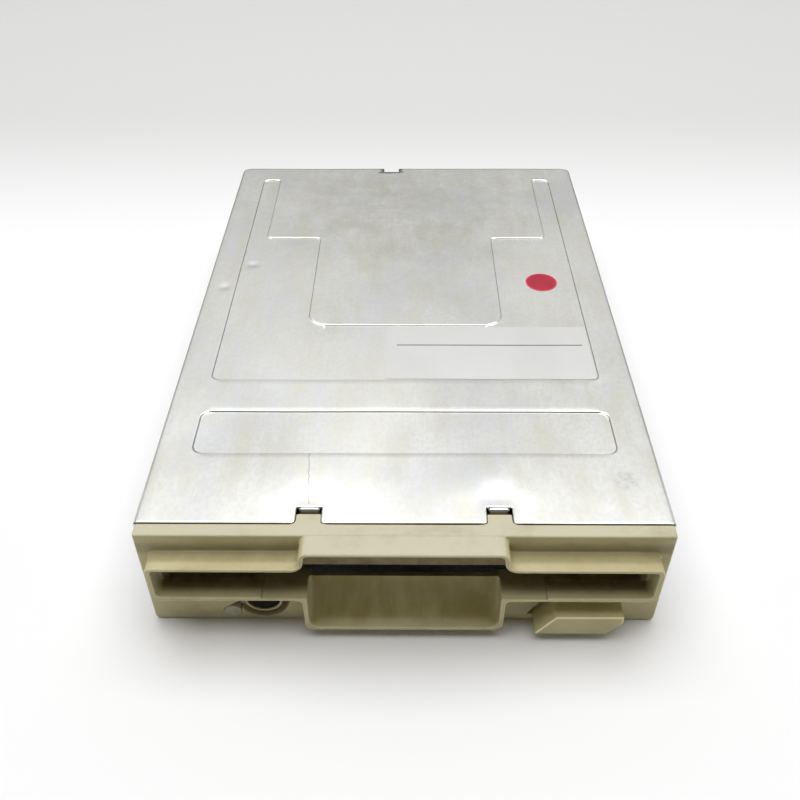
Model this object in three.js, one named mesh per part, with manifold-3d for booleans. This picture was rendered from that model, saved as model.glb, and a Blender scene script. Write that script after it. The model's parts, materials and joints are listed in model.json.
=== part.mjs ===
// A 3.5 inch floppy disk drive, one inch high, in millimetres.
// +X is right as one looks at the bezel, +Y runs to the rear and +Z is up.
// The pieces are laid out from the front edge of the top cover and from the underside of the frame;
// the whole group is then moved so that the origin is the middle of the drive's underside.

import * as THREE from 'three';
import { mergeVertices } from 'three/addons/utils/BufferGeometryUtils.js';
import Module from 'manifold-3d';

// The disk that the drive takes
const diskWidth = 90;
const diskSideGap = 0.6; // between the disk and the holder, each side

// Whole drive
const topRoom = 1.05; // between the stepper motor and the cover's pressed panels
const fitGap = 0.3; // left between neighbouring pieces
const overrun = 1; // how far a cutter passes what it cuts

// Motions
const slideTravel = 5;
const holderDrop = 2.8;
const carriageTravel = 14.8;
const armLiftDegrees = 13;
const screwLead = 3.75; // carriage travel for one turn of the lead screw

// Top cover: sheet with pressed panels and side flanges
const coverSheet = 0.6;
const coverBend = 1.2; // outer radius of the long edges
const coverCorner = 2.5; // plan radius of the rear corners
const flangeDrop = 11.4;
const pressDepth = 0.35;
const pressWall = 0.5; // width of the sloping edge of a pressed panel
const panelInset = 7.4; // from the cover's sides
const panelFront = 42.1;
const panelRearInset = 7.3; // from the cover's rear edge
const panelCorner = 1.8;
const panelArm = 5.1; // width of the arms that run to the rear
const panelArmLength = 34.7; // of the arms behind the panel's shoulders
const stemHalf = 23.4;
const stemFront = 63;
const stemCorner = 4.5;
const bandInset = 7.5; // from the cover's sides
const bandFront = 18.6;
const bandRear = 31.5;
const bandCorner = 2.2;
const notchOffset = 18;
const notchWidth = 5;
const notchLength = 3.9;
const tangWidth = 3.8;
const tangDrop = 3.2;
const rearNotchOffset = -4.95;
const rearNotchWidth = 4.5;
const rearNotchLength = 2.2;

// Snap joints between the cover's flanges and the frame
const clipShares = [0.27, 0.62, 0.9]; // of the drive's length
const clipLength = 6;
const clipHeight = 2;
const clipLift = 3.4; // middle of the clips above the flanges' lower edges
const clipReach = 0.7;

// Bezel: plate, rim round the disk slot, hood over it and finger scoop below it
const bezelInset = 0.6; // from the drive's sides
const bezelHeight = 25.5;
const bezelThick = 2.68;
const bezelCorner = 0.9;
const rimDepth = 4.47;
const slotInset = 3.95; // from the drive's side to the inside of the rim
const slotFloor = 12.87;
const slotHeight = 7.59; // inside the rim
const slotWall = 0.79;
const slotSideWall = 0.75;
const slotCorner = 1.5;
const hoodHalf = 18.5; // inside the hood
const hoodWall = 0.9;
const hoodLip = 0.76;
const hoodCorner = 1.8;
const crookRadius = 2.6; // between the hood's sides and the slot's roof
const crookOuter = 1.2;
const scoopFloor = 3.5;
const scoopLip = 0.85;
const scoopDepth = 5.75; // from the rim's front to the scoop's top edge
const diskOpening = 4.23; // height of the slot through the plate
const floorStepHalf = 27.1; // middle of the slot's floor is a little lower
const floorStep = 0.25;
const tabWidth = 4.4; // tabs in the cover's front notches
const tabLength = 2.53;
const tabDrop = 3;
const hookThick = 1.2;
const hookHeight = 3.6;
const hookRise = 1.2;
const hookLength = 7.5;
const hookNose = 0.9;
const noseLength = 1.6;

// Eject button, a pentagon seen from the front
const buttonInset = 8.3; // from the drive's side
const buttonWidth = 17;
const buttonBottom = 2.4;
const buttonTop = 7.7;
const buttonSlant = 3.9; // the left side leans in by this much at the top
const buttonBevelRun = 3.05; // cut off the lower right corner
const buttonBevelRise = 3.5;
const buttonProud = 0.55; // past the rim
const buttonGap = 0.4;
const buttonSlantGap = 0.9;

// Lamp with its collar, and the small indicator beside it
const lampInset = 22.8; // from the drive's side
const lampRise = 6.35;
const lampRadius = 3.1;
const lampRecess = 0.9; // lens behind the plate's face
const lampDome = 0.5;
const lampLength = 6.4;
const collarInner = 3.4;
const collarOuter = 3.9;
const collarFlange = 4.8;
const collarFlangeThick = 1.2;
const collarRear = 6.6;
const lampHole = 5;
const pipReach = 6.4; // from the lamp
const pipRise = 2.4;
const pipRadius = 1.7;
const pipDome = 0.3;
const pipRear = 1.4;
const wedgeDepth = 0.7;
const wedgeLow = 3.2;
const wedgeHigh = 5.9;
const wedgeReach = 8.3; // to the left of the lamp's centre
const wedgeSlant = 3.7;

// Frame: side walls, deck and rear wall
const frameWall = 2.9;
const deckTop = 7.2;
const deckThick = 2;
const rearWallThick = 1.8;
const rearWallGap = 1; // above the connectors
const rearRoom = 12.7; // behind the stepper motor
const openingHalf = 17.5; // the carriage's opening in the deck
const openingMargin = 1.2; // from the carriage at its limits
const windowMargin = 3.6; // from the carriage's opening to the window over the main board
const windowEdge = 2.5; // from the window to the main board's screws
const grooveDepth = 1.2; // for the rollers, in the side walls
const postInset = 7.6; // of the posts that the loaded disk rests on, from the holder's walls
const postFront = 24;
const postRear = 80;
const postRadius = 1.6;
const postTop = 10.1;
const postTipRadius = 0.9;
const postTipTop = 12;
const lampNotchHalf = 5.5;
const lampNotchLength = 7.2;
const buttonNotchGap = 1;
const buttonNotchLength = 7.2;
const boardBossRadius = 2;
const mountHole = 1.25; // pilot radius for the outside mounting screws
const mountRise = 5;
const sideMountFront = 21;
const sideMountPitch = 69;
const bottomMountFront = 31;
const bottomMountPitch = 70;
const footWidth = 4.4;
const footLength = 8;
const mountDepth = 4;

// Slide plate, with inclined slots that drive the disk holder
const slideSheet = 0.8;
const slideFront = 8;
const slideRear = 90;
const slideWallFront = 14;
const slideWallRear = 84;
const slideWallTop = 16.8;
const slideBridgeFront = 20;
const slideBridgeRear = 30;
const railWidth = 14.1;
const railFrontWidth = 5.4;
const tongueInset = 3.5; // from the button's left side
const tongueWidth = 6;
const tongueFront = 5.6;
const tongueDrop = 3.7;
const prongReach = 7.1; // forward of the tongue, into the button
const slotPlay = 0.4; // round a post that stands in a slot
const wallGap = 0.3; // between the slide's walls and the frame

// Disk holder and its rollers
const holderSheet = 0.8;
const holderSideGap = 0.4; // to the slide's walls
const holderInside = 4.6; // height of the space for the disk
const holderFront = 4;
const holderRearReach = 46.5; // behind the spindle
const holderFloorDrop = 0.27; // lips below the slot's floor
const earLength = 5.5;
const earInset = 1.4; // from the holder's side
const earWidth = 13;
const lipWidth = 3.1;
const armWindowHalf = 9.5;
const hubWindow = 16;
const pressSlit = 1.2; // slits that free two spring tongues in the top
const tongueSpread = 33;
const pressTongueWidth = 7;
const pressTongueLength = 26;
const pressTongueFront = 30;
const rollerFront = 22;
const rollerRear = 72;
const rollerRise = 14.8;
const rollerRadius = 1;
const rollerPlay = 0.3;

// Shutter lever on the holder
const leverInset = 7; // from the ear's outer side
const leverBack = 0.5; // pivot behind the holder's rear edge
const leverReach = 26;
const leverStartDegrees = -65; // from +X
const leverSwingDegrees = 53;
const leverSheet = 0.8;
const leverWidth = 5;
const leverPinRadius = 1.2;
const leverPinDrop = 4;
const leverSlotPlay = 0.5;
const leverSpillDegrees = 4.2; // the slot's length past each end of the swing
const rivetRadius = 1.3;
const rivetHead = 2.2;
const rivetHeadThick = 1;
const rivetRise = 3.4;
const torsionRadius = 2.3;
const torsionWire = 0.5;
const torsionPitch = 0.62;
const torsionLeg = 5;

// Springs that pull the holder down
const springInset = 4.2; // from the holder's side
const springBack = 3.1; // behind the holder's rear edge
const springRadius = 1.5;
const springWire = 0.5;

// Spindle and its flat motor
const spindleBack = 49;
const shaftRadius = 1.5;
const shaftTop = 12.2;
const bearingRadius = 5;
const bearingFlange = 8;
const bearingFlangeThick = 0.9;
const bearingBottom = 2.6;
const bearingTop = 9.2;
const hubRadius = 12.4;
const hubThick = 0.8;
const hubTop = 10.4;
const hubRimDepth = 0.7;
const drivePinOffset = 10.2;
const drivePinRadius = 0.9;
const drivePinRise = 1.3;
const rotorRadius = 25;
const rotorSheet = 0.6;
const rotorBottom = 0.5;
const rotorRimTop = 2.9;
const rotorBossRadius = 4;
const rotorBossTop = 2;
const rotorHoleRadius = 2.4;
const rotorHoleRing = 9.6;
const magnetInner = 14;
const magnetOuter = 23.7;
const magnetThick = 0.6;
const coilRing = 18.6;
const coilOuter = 4.3;
const coilInner = 1.9;
const coilThick = 0.4;
const coilSheet = 0.3; // the carrier that joins the coils
const coilSheetInner = 13;

// Motor board, under the deck
const motorBoardHalf = 34;
const motorBoardAhead = 30; // in front of the spindle
const motorBoardBehind = 37;
const motorBoardBottom = 3.2;
const motorBoardThick = 1;
const motorBoardChamfer = 12;
const motorScrewInset = 6;
const motorScrewFrontInset = 5.5;
const motorScrewRearInset = 6;
const sensorInset = 14; // from the board's side
const sensorLength = 4;
const sensorWidth = 3;
const sensorThick = 1;

// Main board, under the rear of the deck
const mainBoardGap = 6; // behind the motor board
const mainBoardSideGap = 0.7; // to the frame's feet
const mainBoardRearInset = 2.6; // from the drive's rear
const mainBoardBottom = 2.6;
const mainBoardThick = 1.6;
const mainScrewInset = 2.3;
const mainScrewFrontInset = 3.5;
const mainScrewRearInset = 3.6;
const chipOffset = 14;
const chipSize = 14;
const chipThick = 1.5;
const driverOffset = -18;
const driverLength = 12;
const driverWidth = 8;
const capacitorRadius = 2.6;
const capacitorHeight = 6.5;

// Screw holes in the boards, their bosses and the stepper's bracket
const screwRadius = 1;

// Connectors at the rear
const dataGap = 0.6; // to the window's side
const dataHeight = 8.9;
const dataLength = 9.2;
const dataSideWall = 2.3;
const dataEndRoom = 2.46; // beside the last pins
const dataWall = 1.2;
const dataDepth = 6.8;
const dataKey = 4.4;
const pinPitch = 2.54;
const pinSize = 0.64;
const pinLength = 5.8;
const pinBase = 0.8; // thickness of the insert that holds the pins
const powerGap = 7.9; // between the two connectors
const powerWidth = 12.4;
const powerHeight = 7.6;
const powerLength = 8.4;
const powerWall = 1;
const powerDepth = 6;
const powerPitch = 2.5;
const powerPinSize = 0.9;

// Ribbon between the two boards
const ribbonWidth = 14;
const ribbonThick = 0.3;
const ribbonOffset = -6;
const socketLength = 3.6;
const socketThick = 1;
const socketOverhang = 1.4; // of a socket past the ribbon, each side
const socketInset = 1.6; // from the board's edge

// Head carriage on its two guide rods
const headRadius = 32; // from the spindle to the heads at mid travel
const headHalf = 4.5;
const headTop = 11.6;
const headSlit = 1.5; // groove along the lower head's face
const headGap = 0.4; // between the closed heads
const headThick = 2;
const noseHalf = 8;
const noseLead = 6; // in front of the head's centre
const noseRear = 12; // behind the head's centre
const bodyHalf = 15.8;
const bodyReach = 31; // behind the head's centre
const bodyBottom = 5.6;
const bodyTop = 9.4;
const rodOffset = 13;
const rodRise = 7.6;
const rodRadius = 1.25;
const rodPlay = 0.3;
const barrelWall = 0.75;
const barrelLength = 15;
const pocketInset = 4; // weight-saving pocket in the carriage
const pocketDepth = 2;
const rodSeat = 2.5; // how far the rods' ends lie on the deck
const towerLength = 8;
const towerHalf = 10;
const towerTop = 12.2;
const earThick = 1.7;
const armPivotInset = 5; // from the carriage's rear
const armPivotRise = 14.5;
const armPinRadius = 0.9;
const armBarrel = 1.8;
const armThick = 1.8;
const armFrontHalf = 5.4;
const armRibHeight = 0.9;
const armRibWidth = 1.2;
const flagLeft = 22;
const flagThick = 0.8;
const flagFrontInset = 6; // from the carriage's rear
const flagLength = 4;
const flagBottom = 8.8;
const flagArmBottom = 11;

// Track-zero sensor on the deck
const gateGap = 0.6; // behind the carriage at mid travel
const gateLength = 4;
const gatePost = 1.8;
const gatePlay = 0.8;
const gateTop = 10.5;
const gateBase = 0.9;

// Stepper motor, lead screw and what carries them
const screwOffset = 28;
const screwRise = 14.6;
const threadRadius = 1.7;
const threadDepth = 0.7;
const grooveShare = 0.625; // of the thread's pitch that its groove takes
const threadSpill = 1; // past the follower at its limits
const journalRadius = 1;
const journalSpill = 0.4; // in front of its post
const stepperRadius = 9.4;
const stepperLength = 13;
const stepperBore = 1.5;
const stepperBoreDepth = 4;
const stepperFlange = 0.8;
const bracketInset = 1.4; // in front of the opening's rear edge
const bracketSheet = 1;
const bracketReach = 11.8; // right of the screw
const bracketFootLength = 9;
const bracketHole = 3;
const bracketScrewInset = 3.6;
const pivotPostGap = 1.5; // behind the holder
const pivotPostThick = 1.5;
const pivotPostHalf = 3;
const pivotPostTop = 17;
const pivotFoot = 4;
const followerHalf = 1.3;
const followerLead = 1.8; // behind the arm's pivot
const followerGap = 0.7; // between the follower's block and the thread
const followerTip = 0.35;
const followerBite = 0.15; // how far the tip stands in the thread

// Rod clamps
const clampLength = 2.8;
const clampTop = 9.85;
const clampHalf = 19;
const clampScrewOffset = 9;
const clampScrewRadius = 0.8;

// Disk sensing switches
const switchGap = 0.6; // to the slide's front rails
const diskSwitchOffset = -17;
const switchFront = 8.2;
const switchLength = 6.4;
const switchWidth = 5;
const switchTop = 9.3;
const plungerRadius = 0.9;
const plungerPlay = 0.3;
const plungerTop = 10.9;
const plungerLength = 2.3;

// How many of what repeats; the thread's rings are in each turn
const counts = {
  pinColumns: 17,
  powerPins: 4,
  coils: 9,
  rotorHoles: 6,
  springTurns: 7,
  torsionTurns: 3,
  threadSides: 10,
  threadRings: 10,
};

// Places across the drive that follow from the sizes above
const holderInner = diskWidth / 2 + diskSideGap;
const holderOuter = holderInner + holderSheet;
const slideInner = holderOuter + holderSideGap;
const slideOuter = slideInner + slideSheet;
const wallInner = slideOuter + wallGap;
const halfWidth = wallInner + frameWall;
const wallOuter = halfWidth - coverSheet - fitGap; // above the shelf for the cover's flanges
const panelHalf = halfWidth - panelInset;
const bandHalf = halfWidth - bandInset;
const slotHalf = halfWidth - slotInset;
const buttonRight = halfWidth - buttonInset;
const buttonLeft = buttonRight - buttonWidth;
const lampOffset = lampInset - halfWidth;
const pipOffset = lampOffset - pipReach;
const postOffset = holderInner - postInset;
const railInner = slideOuter - railWidth;
const railFrontInner = slideOuter - railFrontWidth;
const switchOffset = railFrontInner - switchGap - switchWidth / 2;
const tongueLeft = buttonLeft + tongueInset;
const earOuter = holderOuter - earInset;
const earInner = earOuter - earWidth;
const leverPivotOffset = leverInset - earOuter;
const springOffset = holderOuter - springInset;
const motorScrewOffset = motorBoardHalf - motorScrewInset;
const sensorOffset = motorBoardHalf - sensorInset;
const mainBoardHalf = wallInner - footWidth - mainBoardSideGap;
const mainScrewOffset = mainBoardHalf - mainScrewInset;
const windowHalf = mainScrewOffset - windowEdge;
const dataWidth = (counts.pinColumns - 1) * pinPitch + pinSize + (dataEndRoom + dataSideWall) * 2;
const dataOffset = windowHalf - dataGap - dataWidth / 2;
const powerOffset = dataOffset - dataWidth / 2 - powerGap - powerWidth / 2;

// Places along the drive
const bezelRear = -fitGap;
const plateFront = bezelRear - bezelThick;
const rimFront = plateFront - rimDepth;
const buttonFront = rimFront - buttonProud;
const holderRear = spindleBack + holderRearReach;
const holderEar = holderRear + earLength;
const leverPivotBack = holderRear + leverBack;
const pivotPostFront = holderRear + pivotPostGap;
const motorBoardFront = spindleBack - motorBoardAhead;
const motorBoardRear = spindleBack + motorBoardBehind;
const mainBoardFront = motorBoardRear + mainBoardGap;
const headBack = spindleBack + headRadius;
const noseFront = headBack - noseLead;
const bodyRear = headBack + bodyReach;
const towerFront = bodyRear - towerLength;
const armPivotBack = bodyRear - armPivotInset;
const openingFront = noseFront - carriageTravel / 2 - openingMargin;
const openingRear = bodyRear + carriageTravel / 2 + openingMargin;
const rodFront = openingFront - rodSeat;
const rodRear = openingRear + rodSeat;
const windowFront = openingRear + windowMargin;
const followerBack = armPivotBack + followerLead;
const bracketFront = openingRear - bracketInset;
const bracketRear = bracketFront + bracketSheet;
const stepperFront = bracketRear + fitGap;
const driveLength = stepperFront + stepperLength + rearRoom;
const panelRear = driveLength - panelRearInset;
const shoulderBack = panelRear - panelArmLength;
const mainBoardRear = driveLength - mainBoardRearInset;

// Levels
const stepperTop = screwRise + stepperRadius;
const driveHeight = stepperTop + topRoom + pressDepth + coverSheet;
const flangeBottom = driveHeight - flangeDrop;
const clipRise = flangeBottom + clipLift;
const frameTop = driveHeight - coverSheet - pressDepth - fitGap;
const deckBottom = deckTop - deckThick;
const slotTop = slotFloor + slotHeight;
const slideBottom = deckTop + fitGap;
const slideTop = slideBottom + slideSheet;
const lipTop = slotFloor - holderFloorDrop;
const holderRoof = lipTop + holderInside;
const holderTop = holderRoof + holderSheet;
const leverBottom = holderTop + fitGap;
const leverTop = leverBottom + leverSheet;
const mainBoardTop = mainBoardBottom + mainBoardThick;
const motorBoardTop = motorBoardBottom + motorBoardThick;
const connectorBottom = mainBoardTop + fitGap;

const wasm = await Module();
wasm.setup();

const cornerSteps = 3; // straight pieces in a rounded corner
const roundSides = { wire: 5, pin: 8, small: 12, medium: 20, large: 40 };

// Solids

function solidOf(geometry) {
  const bare = geometry.index ? geometry.toNonIndexed() : geometry.clone();
  bare.deleteAttribute('normal');
  bare.deleteAttribute('uv');
  const merged = mergeVertices(bare);
  const corners = merged.index.array;
  const kept = [];
  for (let i = 0; i < corners.length; i += 3) {
    const [a, b, c] = [corners[i], corners[i + 1], corners[i + 2]];
    if (a !== b && b !== c && c !== a) kept.push(a, b, c);
  }
  const mesh = new wasm.Mesh({
    numProp: 3,
    vertProperties: new Float32Array(merged.attributes.position.array),
    triVerts: new Uint32Array(kept),
  });
  return new wasm.Manifold(mesh);
}

function geometryOf(solid) {
  const mesh = solid.getMesh();
  const geometry = new THREE.BufferGeometry();
  geometry.setAttribute('position', new THREE.BufferAttribute(mesh.vertProperties, 3));
  geometry.setIndex(new THREE.BufferAttribute(mesh.triVerts, 1));
  geometry.computeVertexNormals();
  return geometry;
}

function join(...solids) {
  return solids.reduce((sum, next) => sum.add(next));
}

function cut(solid, ...cutters) {
  return cutters.reduce((rest, cutter) => rest.subtract(cutter), solid);
}

function block(x0, x1, y0, y1, z0, z1) {
  const geometry = new THREE.BoxGeometry(x1 - x0, y1 - y0, z1 - z0);
  geometry.translate((x0 + x1) / 2, (y0 + y1) / 2, (z0 + z1) / 2);
  return solidOf(geometry);
}

// A block centred across the drive on x = middle
function bar(middle, width, y0, y1, z0, z1) {
  return block(middle - width / 2, middle + width / 2, y0, y1, z0, z1);
}

// A closed outline through [u, v, radius] corners, each rounded by its radius as far as its sides allow
function outline(corners) {
  const shape = new THREE.Shape();
  const count = corners.length;
  corners.forEach(([u, v, radius = 0], i) => {
    const corner = new THREE.Vector2(u, v);
    const before = new THREE.Vector2(...corners[(i + count - 1) % count]).sub(corner);
    const after = new THREE.Vector2(...corners[(i + 1) % count]).sub(corner);
    const room = Math.min(before.length(), after.length()) / 2;
    const half = Math.abs(before.angleTo(after)) / 2;
    const back = Math.min(radius / Math.tan(half), room);
    const entry = before.normalize().multiplyScalar(back).add(corner);
    const exit = after.normalize().multiplyScalar(back).add(corner);
    if (i === 0) shape.moveTo(entry.x, entry.y);
    else shape.lineTo(entry.x, entry.y);
    if (back > 0) shape.quadraticCurveTo(u, v, exit.x, exit.y);
  });
  shape.closePath();
  return shape;
}

// The right half's corners, from low to high, followed by their mirror image
function bothSides(corners) {
  const left = corners.map(([u, v, radius]) => [-u, v, radius]).reverse();
  return outline([...corners, ...left]);
}

function rectangle(u0, u1, v0, v1, radius = 0) {
  return outline([[u0, v0, radius], [u1, v0, radius], [u1, v1, radius], [u0, v1, radius]]);
}

function extrude(shape, depth, steps = cornerSteps) {
  return new THREE.ExtrudeGeometry(shape, { depth, bevelEnabled: false, curveSegments: steps });
}

// An outline in X and Y, raised from z0 to z1
function raise(shape, z0, z1, steps) {
  const geometry = extrude(shape, z1 - z0, steps);
  geometry.translate(0, 0, z0);
  return solidOf(geometry);
}

// An outline in X and Z, carried from y0 back to y1
function carry(shape, y0, y1, steps) {
  const geometry = extrude(shape, y1 - y0, steps);
  geometry.rotateX(Math.PI / 2);
  geometry.translate(0, y1, 0);
  return solidOf(geometry);
}

// An outline in Y and Z, carried from x0 across to x1
function span(shape, x0, x1, steps) {
  const geometry = extrude(shape, x1 - x0, steps);
  const turn = new THREE.Matrix4().makeBasis(
    new THREE.Vector3(0, 1, 0),
    new THREE.Vector3(0, 0, 1),
    new THREE.Vector3(1, 0, 0),
  );
  geometry.applyMatrix4(turn);
  geometry.translate(x0, 0, 0);
  return solidOf(geometry);
}

function rod(radius, length, sides) {
  return new THREE.CylinderGeometry(radius, radius, length, sides);
}

function rodZ(x, y, radius, z0, z1, sides = roundSides.small) {
  const geometry = rod(radius, z1 - z0, sides);
  geometry.rotateX(Math.PI / 2);
  geometry.translate(x, y, (z0 + z1) / 2);
  return solidOf(geometry);
}

function rodY(x, z, radius, y0, y1, sides = roundSides.small) {
  const geometry = rod(radius, y1 - y0, sides);
  geometry.translate(x, (y0 + y1) / 2, z);
  return solidOf(geometry);
}

function rodX(y, z, radius, x0, x1, sides = roundSides.small) {
  const geometry = rod(radius, x1 - x0, sides);
  geometry.rotateZ(Math.PI / 2);
  geometry.translate((x0 + x1) / 2, y, z);
  return solidOf(geometry);
}

// A closed profile of [radius, height] points turned about the vertical line through (x, y)
function turned(profile, x, y, sides) {
  const points = [...profile, profile[0]].map(([radius, height]) => new THREE.Vector2(radius, height));
  const geometry = new THREE.LatheGeometry(points, sides);
  geometry.rotateX(Math.PI / 2);
  geometry.translate(x, y, 0);
  return solidOf(geometry);
}

// A round slot, or hull of two circles, between two points of its plane
function capsule(u0, v0, u1, v1, radius) {
  const along = new THREE.Vector2(u1 - u0, v1 - v0);
  const side = Math.atan2(along.y, along.x);
  const shape = new THREE.Shape();
  shape.absarc(u1, v1, radius, side - Math.PI / 2, side + Math.PI / 2, false);
  shape.absarc(u0, v0, radius, side + Math.PI / 2, side + Math.PI * 1.5, false);
  return shape;
}

// A round wire along a curve, with square ends
function wire(curve, radius, steps, sides) {
  const section = new THREE.Shape();
  for (let i = 0; i < sides; i += 1) {
    const angle = (i / sides) * Math.PI * 2;
    const point = [Math.cos(angle) * radius, Math.sin(angle) * radius];
    if (i === 0) section.moveTo(...point);
    else section.lineTo(...point);
  }
  section.closePath();
  return new THREE.ExtrudeGeometry(section, { steps, extrudePath: curve });
}

// A helix about the vertical line through (x, y), from z0 up to z1
class Helix extends THREE.Curve {
  constructor(x, y, radius, z0, z1, turns) {
    super();
    Object.assign(this, { x, y, radius, z0, z1, turns });
  }

  getPoint(t, target = new THREE.Vector3()) {
    const angle = t * this.turns * Math.PI * 2;
    return target.set(
      this.x + Math.cos(angle) * this.radius,
      this.y + Math.sin(angle) * this.radius,
      this.z0 + (this.z1 - this.z0) * t,
    );
  }
}

// Pieces are added to the body that carries them

const drive = new THREE.Group();

function finish(color, roughness, metalness) {
  return new THREE.MeshStandardMaterial({ color, roughness, metalness });
}

function piece(name, solid, material, home = drive) {
  const mesh = new THREE.Mesh(geometryOf(solid), material);
  mesh.name = name;
  home.add(mesh);
}

const looks = {
  cover: () => finish(0xc9cac6, 0.35, 0.9),
  bezel: () => finish(0xcfc7a8, 0.6, 0),
  button: () => finish(0xc4bb98, 0.55, 0),
  casting: () => finish(0xa9abad, 0.55, 0.8),
  steel: () => finish(0xb8babb, 0.35, 0.9),
  shaft: () => finish(0xcfd0d1, 0.2, 1),
  brass: () => finish(0xb59a58, 0.4, 0.9),
  magnet: () => finish(0x3b3a3c, 0.7, 0.1),
  copper: () => finish(0xb06a35, 0.4, 0.7),
  board: () => finish(0x2f5b3a, 0.6, 0),
  black: () => finish(0x1c1c1e, 0.6, 0),
  white: () => finish(0xd9d6cc, 0.6, 0),
  gold: () => finish(0xc9a64a, 0.3, 0.9),
  lens: () => finish(0x24352c, 0.25, 0),
  pale: () => finish(0xb9c2ae, 0.4, 0),
  blue: () => finish(0x2c3f63, 0.5, 0),
};

// Top cover: a folded sheet with two pressed panels, notches, tangs behind them and clip windows
function makeCover() {
  const inside = halfWidth - coverSheet;
  const under = driveHeight - coverSheet;
  const bendInner = coverBend - coverSheet;
  const section = outline([
    [inside, flangeBottom],
    [halfWidth, flangeBottom],
    [halfWidth, driveHeight, coverBend],
    [-halfWidth, driveHeight, coverBend],
    [-halfWidth, flangeBottom],
    [-inside, flangeBottom],
    [-inside, under, bendInner],
    [inside, under, bendInner],
  ]);
  const plan = outline([
    [-halfWidth, 0, pressWall],
    [halfWidth, 0, pressWall],
    [halfWidth, driveLength, coverCorner],
    [-halfWidth, driveLength, coverCorner],
  ]);
  let cover = carry(section, 0, driveLength);
  cover = cover.intersect(raise(plan, flangeBottom - overrun, driveHeight + overrun));

  // grow widens a panel's outline, for the sloping wall round it
  const armInner = panelHalf - panelArm;
  const wide = (grow) => bothSides([
    [panelHalf + grow, panelFront - grow, panelCorner],
    [panelHalf + grow, panelRear + grow, panelCorner],
    [armInner - grow, panelRear + grow, panelCorner],
    [armInner - grow, shoulderBack + grow, panelCorner],
    [stemHalf - grow, shoulderBack + grow, panelCorner],
    [stemHalf - grow, stemFront + grow, stemCorner],
  ]);
  const band = (grow) => rectangle(
    -bandHalf - grow, bandHalf + grow, bandFront - grow, bandRear + grow, bandCorner,
  );
  const floor = driveHeight - pressDepth;
  for (const panel of [wide, band]) {
    const sunk = raise(panel(0), floor, driveHeight + overrun);
    const pan = raise(panel(pressWall), floor - coverSheet, floor);
    cover = cut(cover, sunk).add(pan);
  }

  for (const side of [-1, 1]) {
    const middle = side * notchOffset;
    const tangTop = under + coverSheet / 2;
    cover = cut(
      cover,
      bar(middle, notchWidth, -overrun, notchLength, under - overrun, driveHeight + overrun),
    );
    cover = cover.add(
      bar(middle, tangWidth, notchLength, notchLength + coverSheet, under - tangDrop, tangTop),
    );
  }
  const rearNotchFront = driveLength - rearNotchLength;
  const rearBottom = under - overrun;
  cover = cut(cover, bar(
    rearNotchOffset, rearNotchWidth, rearNotchFront,
    driveLength + overrun, rearBottom, driveHeight + overrun,
  ));
  const windowHigh = clipHeight / 2 + fitGap;
  for (const share of clipShares) {
    const middle = share * driveLength;
    const half = clipLength / 2 + fitGap;
    const reach = halfWidth + overrun;
    cover = cut(
      cover,
      block(-reach, reach, middle - half, middle + half, clipRise - windowHigh, clipRise + windowHigh),
    );
  }
  return cover;
}

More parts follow.
